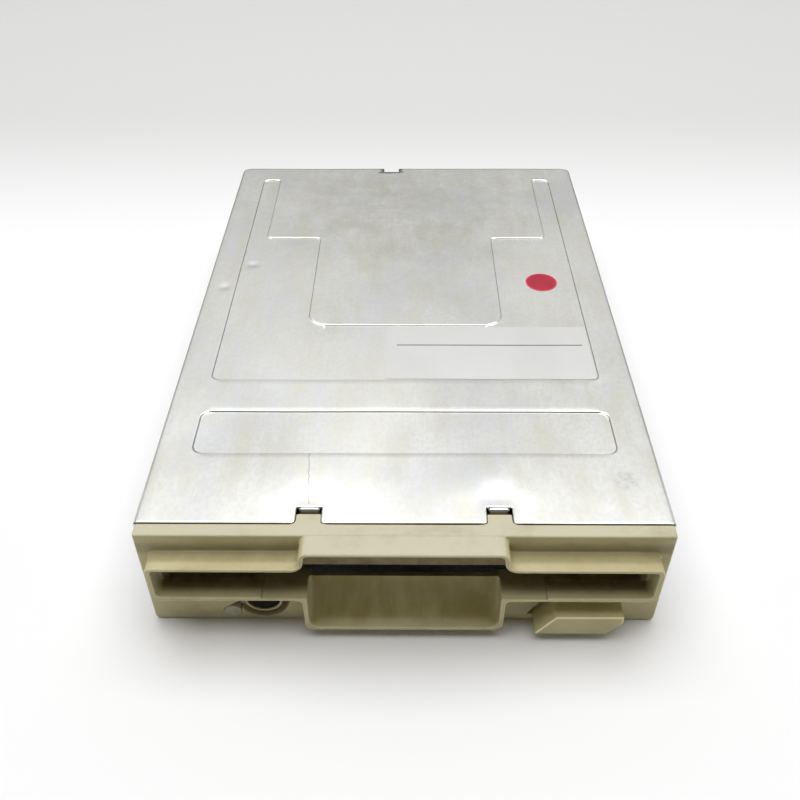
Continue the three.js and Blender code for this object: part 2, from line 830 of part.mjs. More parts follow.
// Bezel: the plate with its openings, and in front of it the rim, the hood and the finger scoop
function makeBezel() {
  const hoodOuter = hoodHalf + hoodWall;
  const slotOuter = slotHalf + slotSideWall;
  const slotRoof = slotTop + slotWall;
  const slotUnder = slotFloor - scoopLip;
  const rimOutline = bothSides([
    [hoodOuter, scoopFloor - scoopLip, hoodCorner],
    [hoodOuter, slotUnder, crookOuter],
    [slotOuter, slotUnder, slotCorner],
    [slotOuter, slotRoof, slotCorner],
    [hoodOuter, slotRoof, crookOuter],
    [hoodOuter, bezelHeight, hoodCorner],
  ]);
  const rimInside = bothSides([
    [hoodHalf, scoopFloor, hoodCorner],
    [hoodHalf, slotFloor, crookOuter],
    [slotHalf, slotFloor, slotSideWall],
    [slotHalf, slotTop, slotSideWall],
    [hoodHalf, slotTop, crookRadius],
    [hoodHalf, bezelHeight - hoodLip, crookOuter],
  ]);
  const half = halfWidth - bezelInset;
  const plate = outline([
    [-half, 0, bezelCorner],
    [half, 0, bezelCorner],
    [half, bezelHeight, bezelCorner],
    [-half, bezelHeight, bezelCorner],
  ]);
  const rim = cut(
    carry(rimOutline, rimFront, bezelRear - bezelThick / 2),
    carry(rimInside, rimFront - overrun, plateFront),
  );

  // The scoop's surface is a quarter ellipse from the lower lip up to the slot's floor
  const scoopRise = slotFloor - scoopFloor;
  const scoopBack = new THREE.Shape();
  scoopBack.moveTo(rimFront, scoopFloor);
  scoopBack.absellipse(rimFront, slotFloor, scoopDepth, scoopRise, -Math.PI / 2, 0, false);
  scoopBack.lineTo(bezelRear - overrun / 2, slotFloor);
  scoopBack.lineTo(bezelRear - overrun / 2, scoopFloor);
  const scoopFront = new THREE.Shape();
  scoopFront.moveTo(rimFront - overrun, scoopFloor);
  scoopFront.absellipse(rimFront, slotFloor, scoopDepth, scoopRise, -Math.PI / 2, 0, false);
  scoopFront.lineTo(rimFront + scoopDepth, slotFloor + overrun);
  scoopFront.lineTo(rimFront - overrun, slotFloor + overrun);
  const solidScoop = span(scoopBack, -hoodHalf - hoodWall / 2, hoodHalf + hoodWall / 2, roundSides.pin);
  const hollowScoop = span(scoopFront, -hoodHalf, hoodHalf, roundSides.pin);

  let bezel = join(carry(plate, plateFront, bezelRear), rim, solidScoop);
  bezel = cut(bezel, hollowScoop);
  const openingTop = slotFloor + diskOpening;
  bezel = cut(
    bezel,
    block(-holderInner, holderInner, plateFront - overrun, bezelRear + overrun, slotFloor, openingTop),
    block(
      -floorStepHalf, floorStepHalf, rimFront - overrun, bezelRear + overrun,
      slotFloor - floorStep, slotFloor + overrun,
    ),
  );

  const hole = outline(buttonCorners(buttonGap, buttonSlantGap));
  const lampTunnel = rodY(
    lampOffset, lampRise, lampHole, plateFront - overrun, bezelRear + overrun, roundSides.medium,
  );
  const pipTunnel = rodY(pipOffset, pipRise, pipRadius + fitGap, plateFront - overrun, bezelRear + overrun);
  const wedge = outline([
    [lampOffset - wedgeReach, wedgeLow],
    [lampOffset, wedgeLow],
    [lampOffset, wedgeHigh],
    [lampOffset - wedgeReach + wedgeSlant, wedgeHigh],
  ]);
  bezel = cut(
    bezel,
    carry(hole, plateFront - overrun, bezelRear + overrun),
    lampTunnel,
    pipTunnel,
    carry(wedge, plateFront - overrun, plateFront + wedgeDepth),
  );

  for (const side of [-1, 1]) {
    const middle = side * notchOffset;
    bezel = bezel.add(
      bar(middle, tabWidth, bezelRear - overrun, tabLength, bezelHeight - tabDrop, bezelHeight),
    );
    const face = wallInner - fitGap;
    const hook = outline([
      [face - hookThick, bezelRear - overrun],
      [face, bezelRear - overrun],
      [face, hookLength - noseLength],
      [face + fitGap + hookNose, hookLength - noseLength],
      [face, hookLength],
      [face - hookThick, hookLength],
    ].map(([x, y]) => [side * x, y]));
    bezel = bezel.add(raise(hook, hookRise, hookRise + hookHeight));
  }
  return bezel;
}

// The button's five corners, drawn out by a gap all round and by another on the leaning left side
function buttonCorners(gap, slantGap) {
  return [
    [buttonLeft - slantGap, buttonBottom - gap],
    [buttonRight - buttonBevelRun, buttonBottom - gap],
    [buttonRight + gap, buttonBottom + buttonBevelRise],
    [buttonRight + gap, buttonTop + gap],
    [buttonLeft + buttonSlant - slantGap, buttonTop + gap],
  ];
}

function makeButton() {
  const body = carry(outline(buttonCorners(0, 0)), buttonFront, tongueFront - fitGap);
  const prongTop = slideTop - tongueDrop + slideSheet;
  const socket = block(
    tongueLeft - fitGap, tongueLeft + tongueWidth + fitGap,
    tongueFront - prongReach - fitGap, tongueFront + overrun,
    slideTop - tongueDrop - fitGap, prongTop + fitGap,
  );
  return cut(body, socket);
}

// Frame: a casting with two side walls, a deck between them and a wall over the connectors
function makeFrame() {
  const shelf = flangeBottom - fitGap;
  const rear = driveLength - fitGap;
  const connectorTop = connectorBottom + dataHeight;
  let frame = block(-wallInner - overrun, wallInner + overrun, 0, rear, deckBottom, deckTop);
  for (const side of [-1, 1]) {
    const wall = outline([
      [side * wallInner, 0],
      [side * halfWidth, 0],
      [side * halfWidth, shelf],
      [side * wallOuter, shelf],
      [side * wallOuter, frameTop],
      [side * wallInner, frameTop],
    ]);
    frame = frame.add(carry(wall, 0, rear));
  }
  const rearWall = bar(
    0, wallInner * 2 + overrun, rear - rearWallThick, rear, connectorTop + rearWallGap, frameTop,
  );
  frame = frame.add(rearWall);

  // Openings for the carriage, over the main board and under the stepper motor
  const low = deckBottom - overrun;
  const high = deckTop + overrun;
  const dip = screwRise - deckTop;
  const stepperHalf = Math.sqrt(Math.max(stepperRadius ** 2 - dip ** 2, 0)) + 2 * fitGap;
  frame = cut(
    frame,
    block(-openingHalf, openingHalf, openingFront, openingRear, low, high),
    block(-windowHalf, windowHalf, windowFront, rear + overrun, low, high),
    bar(screwOffset, stepperHalf * 2, bracketRear, windowFront + overrun, low, high),
    bar(lampOffset, lampNotchHalf * 2, -overrun, lampNotchLength, low, high),
    block(
      buttonLeft - buttonNotchGap, buttonRight + buttonNotchGap, -overrun, buttonNotchLength, low, high,
    ),
    rodZ(0, spindleBack, bearingRadius + fitGap, low, high, roundSides.medium),
  );

  for (const side of [-1, 1]) {
    const channelX = side * rodOffset;
    const channelWidth = (rodRadius + rodPlay) * 2;
    frame = cut(frame, bar(
      channelX, channelWidth, rodFront - fitGap, rodRear + fitGap, rodRise - rodRadius - rodPlay, high,
    ));

    // Upright grooves for the holder's rollers
    for (const y of [rollerFront, rollerRear]) {
      const half = rollerRadius + rollerPlay;
      const inner = side * (wallInner - overrun);
      const outer = side * (wallInner + grooveDepth);
      frame = cut(frame, block(
        Math.min(inner, outer), Math.max(inner, outer), y - half, y + half,
        rollerRise - holderDrop - half, frameTop + overrun,
      ));
    }

    // Clips for the cover, posts for the disk, and feet with the mounting holes
    for (const share of clipShares) {
      const middle = share * driveLength;
      const inner = side * (wallOuter - overrun / 2);
      const outer = side * (wallOuter + clipReach);
      frame = frame.add(block(
        Math.min(inner, outer), Math.max(inner, outer), middle - clipLength / 2, middle + clipLength / 2,
        clipRise - clipHeight / 2, clipRise + clipHeight / 2,
      ));
    }
    for (const [y, tip] of [[postFront, postTipTop], [postRear, 0]]) {
      frame = frame.add(rodZ(side * postOffset, y, postRadius, deckBottom + overrun, postTop));
      if (tip > postTop) {
        frame = frame.add(rodZ(side * postOffset, y, postTipRadius, deckTop, tip, roundSides.pin));
      }
    }
    for (const y of [bottomMountFront, bottomMountFront + bottomMountPitch]) {
      const middle = side * (wallInner - footWidth / 2);
      frame = frame.add(
        bar(middle, footWidth + overrun, y - footLength / 2, y + footLength / 2, 0, deckBottom + overrun),
      );
      frame = cut(frame, rodZ(middle, y, mountHole, -overrun, mountDepth, roundSides.pin));
    }
    for (const y of [sideMountFront, sideMountFront + sideMountPitch]) {
      const inner = side * (halfWidth - mountDepth);
      const outer = side * (halfWidth + overrun);
      frame = cut(
        frame,
        rodX(y, mountRise, mountHole, Math.min(inner, outer), Math.max(inner, outer), roundSides.pin),
      );
    }

    // Pocket for the bezel's hook
    const pocketFront = hookLength - noseLength - fitGap;
    const inner = side * (wallInner - overrun);
    const outer = side * (wallInner + hookNose + fitGap);
    frame = cut(frame, block(
      Math.min(inner, outer), Math.max(inner, outer), pocketFront, hookLength + fitGap,
      hookRise - fitGap, hookRise + hookHeight + fitGap,
    ));
  }

  // Bosses under the deck for the screws of both boards
  for (const [x, y, bottom] of boardScrews()) {
    const boss = rodZ(x, y, boardBossRadius, bottom, deckBottom + overrun / 2);
    const hole = rodZ(x, y, screwRadius + fitGap, bottom - overrun, deckTop + overrun, roundSides.pin);
    frame = cut(frame.add(boss), hole);
  }
  return frame;
}

// Each board screw's place and the level of the boss that it enters
function boardScrews() {
  const motor = motorBoardTop + fitGap;
  const main = mainBoardTop + fitGap;
  const places = [];
  for (const side of [-1, 1]) {
    places.push([side * motorScrewOffset, motorBoardFront + motorScrewFrontInset, motor]);
    places.push([side * motorScrewOffset, motorBoardRear - motorScrewRearInset, motor]);
    places.push([side * mainScrewOffset, mainBoardFront + mainScrewFrontInset, main]);
    places.push([side * mainScrewOffset, mainBoardRear - mainScrewRearInset, main]);
  }
  return places;
}

// Slide plate: the tongue at its front enters the button, its walls' slots drive the holder's rollers
function makeSlide() {
  const tongueRight = tongueLeft + tongueWidth;
  const plan = outline([
    [-slideOuter, slideFront],
    [-railFrontInner, slideFront],
    [-railFrontInner, slideBridgeFront],
    [tongueLeft, slideBridgeFront],
    [tongueLeft, tongueFront],
    [tongueRight, tongueFront],
    [tongueRight, slideBridgeFront],
    [railFrontInner, slideBridgeFront],
    [railFrontInner, slideFront],
    [slideOuter, slideFront],
    [slideOuter, slideRear],
    [railInner, slideRear],
    [railInner, slideBridgeRear],
    [-railInner, slideBridgeRear],
    [-railInner, slideRear],
    [-slideOuter, slideRear],
  ]);
  const prongBottom = slideTop - tongueDrop;
  let slide = join(
    raise(plan, slideBottom, slideTop),
    block(tongueLeft, tongueRight, tongueFront, tongueFront + slideSheet, prongBottom, slideTop),
    block(
      tongueLeft, tongueRight, tongueFront - prongReach, tongueFront + slideSheet,
      prongBottom, prongBottom + slideSheet,
    ),
  );
  for (const side of [-1, 1]) {
    const near = Math.min(side * slideInner, side * slideOuter);
    const far = Math.max(side * slideInner, side * slideOuter);
    slide = slide.add(block(near, far, slideWallFront, slideWallRear, slideBottom, slideWallTop));
    for (const y of [rollerFront, rollerRear]) {
      const ramp = capsule(
        y, rollerRise, y + slideTravel, rollerRise - holderDrop, rollerRadius + rollerPlay,
      );
      slide = cut(slide, span(ramp, near - overrun / 2, far + overrun / 2));
    }
    for (const y of [postFront, postRear]) {
      const clear = postRadius + slotPlay;
      const slot = capsule(side * postOffset, y, side * postOffset, y + slideTravel, clear);
      slide = cut(slide, raise(slot, slideBottom - overrun, slideTop + overrun, cornerSteps));
    }
  }
  return slide;
}

// Disk holder: a folded channel round the disk, open for the heads, the hub and the shutter lever
function makeHolder() {
  const section = (z0, z1, x0, x1) => {
    const near = Math.min(x0, x1);
    const far = Math.max(x0, x1);
    return block(near, far, holderFront, holderRear, z0, z1);
  };
  const lipBottom = lipTop - holderSheet;
  let holder = section(holderRoof, holderTop, -holderOuter, holderOuter);
  for (const side of [-1, 1]) {
    const ear = side * earInner;
    holder = join(
      holder,
      section(lipBottom, holderTop, side * holderInner, side * holderOuter),
      section(lipBottom, lipTop, side * (holderInner - lipWidth), side * holderOuter),
      block(
        Math.min(ear, side * earOuter), Math.max(ear, side * earOuter), holderRear - overrun, holderEar,
        holderRoof, holderTop,
      ),
    );
  }
  const low = holderRoof - overrun;
  const high = holderTop + overrun;
  holder = cut(
    holder,
    block(-armWindowHalf, armWindowHalf, openingFront, holderRear + overrun, low, high),
    rodZ(0, spindleBack, hubWindow, low, high, roundSides.medium),
  );
  for (const side of [-1, 1]) {
    const inner = tongueSpread - pressTongueWidth / 2;
    const outer = tongueSpread + pressTongueWidth / 2;
    const end = pressTongueFront + pressTongueLength;
    const slits = [
      [inner - pressSlit, inner, pressTongueFront, end],
      [outer, outer + pressSlit, pressTongueFront, end],
      [inner - pressSlit, outer + pressSlit, pressTongueFront - pressSlit, pressTongueFront],
    ];
    for (const [x0, x1, y0, y1] of slits) {
      const near = Math.min(side * x0, side * x1);
      const far = Math.max(side * x0, side * x1);
      holder = cut(holder, block(near, far, y0, y1, low, high));
    }
  }

  // The arc that the shutter lever's pin sweeps through the top
  const half = leverPinRadius + leverSlotPlay;
  const from = THREE.MathUtils.degToRad(leverStartDegrees - leverSpillDegrees);
  const to = THREE.MathUtils.degToRad(leverStartDegrees + leverSwingDegrees + leverSpillDegrees);
  const arc = new THREE.Shape();
  arc.absarc(leverPivotOffset, leverPivotBack, leverReach + half, from, to, false);
  arc.absarc(leverPivotOffset, leverPivotBack, leverReach - half, to, from, true);
  arc.closePath();
  const rivet = rodZ(leverPivotOffset, leverPivotBack, rivetRadius + fitGap, low, high);
  return cut(holder, raise(arc, low, high, roundSides.pin), rivet);
}

function makeRoller(side, y) {
  const inner = side * (holderOuter + fitGap);
  const outer = side * (wallInner + grooveDepth - rollerPlay);
  return rodX(y, rollerRise, rollerRadius, Math.min(inner, outer), Math.max(inner, outer), roundSides.pin);
}

// Shutter lever, lying along its start angle, with the pin that meets the disk's shutter
function makeLever() {
  const angle = THREE.MathUtils.degToRad(leverStartDegrees);
  const tipX = leverPivotOffset + Math.cos(angle) * leverReach;
  const tipY = leverPivotBack + Math.sin(angle) * leverReach;
  const arm = capsule(leverPivotOffset, leverPivotBack, tipX, tipY, leverWidth / 2);
  const bore = rodZ(
    leverPivotOffset, leverPivotBack, rivetRadius + fitGap, leverBottom - overrun, leverTop + overrun,
  );
  const pin = rodZ(tipX, tipY, leverPinRadius, leverBottom - leverPinDrop, leverTop);
  return cut(raise(arm, leverBottom, leverTop), bore).add(pin);
}

// A headed pin through the holder's ear, on which the lever turns
function makeRivet() {
  const foot = holderRoof - fitGap - rivetHeadThick;
  return turned([
    [0, foot],
    [rivetHead, foot],
    [rivetHead, holderRoof - fitGap],
    [rivetRadius, holderRoof - fitGap],
    [rivetRadius, leverTop + rivetRise],
    [0, leverTop + rivetRise],
  ], leverPivotOffset, leverPivotBack, roundSides.small);
}

function makeTorsionSpring() {
  const start = leverTop + fitGap + torsionWire / 2;
  const coil = new Helix(
    leverPivotOffset, leverPivotBack, torsionRadius, start,
    start + counts.torsionTurns * torsionPitch, counts.torsionTurns,
  );
  const steps = Math.round(counts.torsionTurns * roundSides.pin);
  const body = solidOf(wire(coil, torsionWire / 2, steps, roundSides.wire));
  const end = start + counts.torsionTurns * torsionPitch;
  const legX = leverPivotOffset + torsionRadius;
  const leg = block(
    legX - torsionWire / 2, legX + torsionWire / 2, leverPivotBack - torsionLeg, leverPivotBack,
    end - torsionWire / 2, end + torsionWire / 2,
  );
  return body.add(leg);
}

function makeHolderSpring(side) {
  const start = deckTop + fitGap + springWire / 2;
  const end = holderRoof - fitGap - springWire / 2;
  const coil = new Helix(
    side * springOffset, holderRear + springBack, springRadius, start, end, counts.springTurns,
  );
  const steps = Math.round(counts.springTurns * roundSides.pin);
  return solidOf(wire(coil, springWire / 2, steps, roundSides.wire));
}

// Spindle: the sleeve that is fixed in the deck, and the pieces that turn in it
function makeBearing() {
  const bore = shaftRadius + fitGap;
  const seat = deckTop + fitGap;
  return turned([
    [bore, bearingBottom],
    [bearingRadius, bearingBottom],
    [bearingRadius, seat],
    [bearingFlange, seat],
    [bearingFlange, seat + bearingFlangeThick],
    [bearingRadius, seat + bearingFlangeThick],
    [bearingRadius, bearingTop],
    [bore, bearingTop],
  ], 0, spindleBack, roundSides.medium);
}

function makeHub() {
  const bore = shaftRadius + fitGap;
  const under = hubTop - hubThick;
  return turned([
    [bore, under],
    [hubRadius - hubThick, under],
    [hubRadius - hubThick, under - hubRimDepth],
    [hubRadius, under - hubRimDepth],
    [hubRadius, hubTop],
    [bore, hubTop],
  ], 0, spindleBack, roundSides.large / 2);
}

function makeRotor() {
  const bore = shaftRadius + fitGap;
  const floor = rotorBottom + rotorSheet;
  let rotor = turned([
    [bore, rotorBottom],
    [rotorRadius, rotorBottom],
    [rotorRadius, rotorRimTop],
    [rotorRadius - rotorSheet, rotorRimTop],
    [rotorRadius - rotorSheet, floor],
    [rotorBossRadius, floor],
    [rotorBossRadius, rotorBossTop],
    [bore, rotorBossTop],
  ], 0, spindleBack, roundSides.large);
  for (let i = 0; i < counts.rotorHoles; i += 1) {
    const angle = (i / counts.rotorHoles) * Math.PI * 2;
    const x = Math.cos(angle) * rotorHoleRing;
    const y = spindleBack + Math.sin(angle) * rotorHoleRing;
    rotor = cut(
      rotor,
      rodZ(x, y, rotorHoleRadius, rotorBottom - overrun, floor + overrun, roundSides.small),
    );
  }
  return rotor;
}

function ring(x, y, inner, outer, z0, z1, sides) {
  return turned([[inner, z0], [outer, z0], [outer, z1], [inner, z1]], x, y, sides);
}

// Flat coils in a ring, on the underside of a thin carrier
function makeCoils() {
  const top = motorBoardBottom - fitGap;
  const under = top - coilSheet;
  const carrier = ring(0, spindleBack, coilSheetInner, coilRing + coilOuter, under, top, roundSides.medium);
  const coils = [carrier];
  for (let i = 0; i < counts.coils; i += 1) {
    const angle = ((i + 0.5) / counts.coils) * Math.PI * 2;
    const x = Math.cos(angle) * coilRing;
    const y = spindleBack + Math.sin(angle) * coilRing;
    coils.push(ring(x, y, coilInner, coilOuter, under - coilThick, under + coilSheet / 2, roundSides.pin));
  }
  return join(...coils);
}

// A board with its screw holes
function drilled(board, bottom, top, places) {
  const holes = places.map(([x, y]) => rodZ(
    x, y, screwRadius + fitGap, bottom - overrun, top + overrun, roundSides.pin,
  ));
  return cut(board, ...holes);
}

function makeMotorBoard() {
  const plan = outline([
    [-motorBoardHalf + motorBoardChamfer / 2, motorBoardFront],
    [motorBoardHalf - motorBoardChamfer / 2, motorBoardFront],
    [motorBoardHalf, motorBoardFront + motorBoardChamfer / 2],
    [motorBoardHalf, motorBoardRear],
    [-motorBoardHalf + motorBoardChamfer, motorBoardRear],
    [-motorBoardHalf, motorBoardRear - motorBoardChamfer / 2],
    [-motorBoardHalf, motorBoardFront + motorBoardChamfer / 2],
  ]);
  const board = raise(plan, motorBoardBottom, motorBoardTop);
  const hole = rodZ(
    0, spindleBack, bearingRadius + fitGap, motorBoardBottom - overrun,
    motorBoardTop + overrun, roundSides.medium,
  );
  const places = boardScrews().filter(([, y]) => y < motorBoardRear);
  return drilled(cut(board, hole), motorBoardBottom, motorBoardTop, places);
}

function makeMainBoard() {
  const board = bar(0, mainBoardHalf * 2, mainBoardFront, mainBoardRear, mainBoardBottom, mainBoardTop);
  const places = boardScrews().filter(([, y]) => y > mainBoardFront);
  return drilled(board, mainBoardBottom, mainBoardTop, places);
}

// Chips on the underside of the main board and a capacitor on its top
function makeChip(offset, width, length) {
  const top = mainBoardBottom - fitGap;
  const middle = (mainBoardFront + mainBoardRear) / 2;
  return bar(offset, width, middle - length / 2, middle + length / 2, top - chipThick, top);
}

function makeCapacitor() {
  const seat = mainBoardTop + fitGap;
  const back = windowFront + capacitorRadius * 2;
  return rodZ(powerOffset / 2, back, capacitorRadius, seat, seat + capacitorHeight);
}

function makeDataShell() {
  const left = dataOffset - dataWidth / 2;
  const right = dataOffset + dataWidth / 2;
  const front = driveLength - dataLength;
  const top = connectorBottom + dataHeight;
  const mouth = driveLength - dataDepth;
  return cut(
    block(left, right, front, driveLength, connectorBottom, top),
    block(
      left + dataSideWall, right - dataSideWall, mouth, driveLength + overrun,
      connectorBottom + dataWall, top - dataWall,
    ),
    bar(dataOffset, dataKey, mouth, driveLength + overrun, top - dataWall - overrun, top + overrun),
  );
}

function makeDataPins() {
  const middle = connectorBottom + dataHeight / 2;
  const front = driveLength - dataDepth + fitGap;
  const baseWidth = dataWidth - (dataSideWall + fitGap) * 2;
  const pins = [bar(
    dataOffset, baseWidth, front, front + pinBase, middle - pinPitch, middle + pinPitch,
  )];
  for (let column = 0; column < counts.pinColumns; column += 1) {
    for (const row of [-1, 1]) {
      const x = dataOffset + (column - (counts.pinColumns - 1) / 2) * pinPitch;
      const z = middle + (row * pinPitch) / 2;
      pins.push(bar(x, pinSize, front, front + pinLength, z - pinSize / 2, z + pinSize / 2));
    }
  }
  return join(...pins);
}

function makePowerShell() {
  const front = driveLength - powerLength;
  const mouth = driveLength - powerDepth;
  const top = connectorBottom + powerHeight;
  return cut(
    bar(powerOffset, powerWidth, front, driveLength, connectorBottom, top),
    bar(
      powerOffset, powerWidth - powerWall * 2, mouth, driveLength + overrun,
      connectorBottom + powerWall, top - powerWall,
    ),
  );
}

function makePowerPins() {
  const middle = connectorBottom + powerHeight / 2;
  const front = driveLength - powerDepth + fitGap;
  const baseWidth = powerWidth - (powerWall + fitGap) * 2;
  const pins = [bar(
    powerOffset, baseWidth, front, front + pinBase, middle - powerPitch / 2, middle + powerPitch / 2,
  )];
  for (let i = 0; i < counts.powerPins; i += 1) {
    const x = powerOffset + (i - (counts.powerPins - 1) / 2) * powerPitch;
    const end = front + powerDepth - powerWall;
    pins.push(bar(x, powerPinSize, front, end, middle - powerPinSize / 2, middle + powerPinSize / 2));
  }
  return join(...pins);
}

// The ribbon's two sockets, under the edges of the boards
function ribbonEnds() {
  const motorTop = motorBoardBottom - fitGap;
  const mainTop = mainBoardBottom - fitGap;
  return [
    [motorBoardRear - socketInset - socketLength, motorTop],
    [mainBoardFront + socketInset, mainTop],
  ];
}

function makeRibbonSocket(end) {
  const width = ribbonWidth + socketOverhang * 2;
  const [front, top] = ribbonEnds()[end];
  return bar(ribbonOffset, width, front, front + socketLength, top - socketThick, top);
}

function makeRibbon() {
  const [[first, firstTop], [second, secondTop]] = ribbonEnds();
  const start = first + socketLength + fitGap;
  const end = second - fitGap;
  const startRise = firstTop - socketThick / 2;
  const endRise = secondTop - socketThick / 2;
  const middle = (start + end) / 2;
  const half = ribbonThick / 2;
  const shape = new THREE.Shape();
  shape.moveTo(start, startRise - half);
  shape.bezierCurveTo(middle, startRise - half, middle, endRise - half, end, endRise - half);
  shape.lineTo(end, endRise + half);
  shape.bezierCurveTo(middle, endRise + half, middle, startRise + half, start, startRise + half);
  shape.closePath();
  return span(shape, ribbonOffset - ribbonWidth / 2, ribbonOffset + ribbonWidth / 2, roundSides.pin);
}

// Carriage: nose under the head, body on the guide rods, tower for the upper arm, flag for the sensor
function makeCarriage() {
  const plan = outline([
    [-noseHalf, noseFront, overrun],
    [noseHalf, noseFront, overrun],
    [noseHalf, headBack + noseRear, overrun],
    [bodyHalf, headBack + noseRear, overrun],
    [bodyHalf, bodyRear],
    [-bodyHalf, bodyRear],
    [-bodyHalf, headBack + noseRear, overrun],
    [-noseHalf, headBack + noseRear, overrun],
  ]);
  const barrelRadius = rodRadius + rodPlay + barrelWall;
  const earTop = armPivotRise + armBarrel;
  const flagFront = bodyRear - flagFrontInset;
  let carriage = join(
    raise(plan, bodyBottom, bodyTop),
    rodY(-rodOffset, rodRise, barrelRadius, bodyRear - barrelLength, bodyRear),
    block(-towerHalf, towerHalf, towerFront, bodyRear, bodyTop - overrun, towerTop),
    block(
      -flagLeft, -towerHalf + overrun, flagFront, flagFront + flagLength, flagArmBottom, towerTop,
    ),
    block(-flagLeft, -flagLeft + flagThick, flagFront, flagFront + flagLength, flagBottom, towerTop),
  );
  for (const side of [-1, 1]) {
    const near = Math.min(side * (towerHalf - earThick), side * towerHalf);
    const far = Math.max(side * (towerHalf - earThick), side * towerHalf);
    const ear = outline([
      [towerFront, towerTop - overrun],
      [bodyRear, towerTop - overrun],
      [armPivotBack + armBarrel, earTop, armBarrel],
      [armPivotBack - armBarrel, earTop, armBarrel],
    ]);
    carriage = carriage.add(span(ear, near, far));
  }
  const pocketTop = bodyBottom + pocketDepth;
  const pocketRear = bodyRear - pocketInset;
  const pocketHalf = noseHalf - pocketInset / 2;
  return cut(
    carriage,
    rodY(-rodOffset, rodRise, rodRadius + rodPlay, noseFront - overrun, bodyRear + overrun),
    block(
      rodOffset - rodRadius - rodPlay, bodyHalf + overrun, noseFront, bodyRear + overrun,
      rodRise - rodRadius - rodPlay, rodRise + rodRadius + rodPlay,
    ),
    block(-pocketHalf, pocketHalf, noseFront + pocketInset, pocketRear, bodyBottom - overrun, pocketTop),
    rodX(
      armPivotBack, armPivotRise, armPinRadius + fitGap,
      -towerHalf - overrun, towerHalf + overrun, roundSides.pin,
    ),
  );
}

function makeLowerHead() {
  const rise = bodyTop + fitGap;
  const head = block(-headHalf, headHalf, headBack - headHalf, headBack + headHalf, rise, headTop);
  return cut(head, block(
    -headSlit / 2, headSlit / 2, headBack - headHalf - overrun, headBack + headHalf + overrun,
    headTop - fitGap, headTop + overrun,
  ));
}

// The upper arm and head are drawn closed, about the pivot, and the group is then lifted
function makeArm() {
  const front = noseFront + overrun - armPivotBack;
  const under = headTop + headGap + headThick + fitGap - armPivotRise;
  const top = under + armThick;
  const rearHalf = towerHalf - earThick - 2 * fitGap;
  const plan = outline([
    [-armFrontHalf, front, overrun],
    [armFrontHalf, front, overrun],
    [rearHalf, front / 2],
    [rearHalf, 0],
    [-rearHalf, 0],
    [-rearHalf, front / 2],
  ]);
  let arm = raise(plan, under, top).add(rodX(0, 0, armBarrel, -rearHalf, rearHalf));
  for (const side of [-1, 1]) {
    const middle = side * (armFrontHalf - armRibWidth);
    arm = arm.add(
      bar(middle, armRibWidth, front + armRibWidth, front / 2, top - overrun / 2, top + armRibHeight),
    );
  }
  return cut(arm, rodX(0, 0, armPinRadius + fitGap, -towerHalf, towerHalf, roundSides.pin));
}

function makeUpperHead() {
  const bottom = headTop + headGap - armPivotRise;
  const middle = headBack - armPivotBack;
  return block(-headHalf, headHalf, middle - headHalf, middle + headHalf, bottom, bottom + headThick);
}

function makeFollower() {
  const reach = screwOffset - threadRadius;
  const blockEnd = reach - followerGap;
  const body = block(
    towerHalf + fitGap, blockEnd, followerBack - followerHalf, followerBack + followerHalf,
    screwRise - followerHalf, screwRise + followerHalf,
  );
  const tip = rodX(
    followerBack, screwRise, followerTip, blockEnd - overrun, reach + followerBite, roundSides.pin,
  );
  return body.add(tip);
}

// Lead screw: a shaft whose surface dips in one helical groove of the screw's lead,
// drawn ring by ring; the groove passes the follower at followerBack on the side that faces it
function makeLeadScrew() {
  const threadFront = followerBack - carriageTravel / 2 - threadSpill;
  const threadRear = bracketFront - journalRadius / 2;
  const turns = (threadRear - threadFront) / screwLead;
  const rings = Math.round(turns * counts.threadRings);
  const positions = [];
  const radiusAt = (angle, y) => {
    const phase = (y - followerBack) / screwLead - (angle - Math.PI) / (Math.PI * 2);
    const off = Math.abs(phase - Math.round(phase)) * 2; // 0 in the groove's middle, 1 on the crest
    return threadRadius - threadDepth * Math.max(0, 1 - off / grooveShare);
  };
  const point = (i, j) => {
    const y = threadFront + ((threadRear - threadFront) * i) / rings;
    const angle = (j / counts.threadSides) * Math.PI * 2;
    const radius = radiusAt(angle, y);
    return [screwOffset + Math.cos(angle) * radius, y, screwRise + Math.sin(angle) * radius];
  };
  const quad = (a, b, c, d) => positions.push(...a, ...b, ...c, ...a, ...c, ...d);
  for (let i = 0; i < rings; i += 1) {
    for (let j = 0; j < counts.threadSides; j += 1) {
      quad(
        point(i, j), point(i + 1, j),
        point(i + 1, (j + 1) % counts.threadSides), point(i, (j + 1) % counts.threadSides),
      );
    }
  }
  const front = [screwOffset, threadFront, screwRise];
  const rear = [screwOffset, threadRear, screwRise];
  for (let j = 0; j < counts.threadSides; j += 1) {
    const next = (j + 1) % counts.threadSides;
    positions.push(...front, ...point(0, j), ...point(0, next));
    positions.push(...rear, ...point(rings, next), ...point(rings, j));
  }
  const geometry = new THREE.BufferGeometry();
  geometry.setAttribute('position', new THREE.Float32BufferAttribute(positions, 3));
  return join(
    solidOf(geometry),
    rodY(
      screwOffset, screwRise, journalRadius, pivotPostFront + journalSpill, threadFront + overrun / 2,
      roundSides.pin,
    ),
    rodY(
      screwOffset, screwRise, journalRadius, threadRear - overrun / 2,
      stepperFront + stepperBoreDepth - overrun,
      roundSides.pin,
    ),
  );
}

function makePivotPost() {
  const rear = pivotPostFront + pivotPostThick;
  const foot = deckTop + fitGap;
  return cut(
    join(
      bar(screwOffset, pivotPostHalf * 2, pivotPostFront, rear, foot, pivotPostTop),
      bar(screwOffset, pivotPostHalf * 2, pivotPostFront, rear + pivotFoot, foot, foot + bracketSheet),
    ),
    rodY(
      screwOffset, screwRise, journalRadius + fitGap,
      pivotPostFront - overrun, rear + overrun, roundSides.pin,
    ),
  );
}

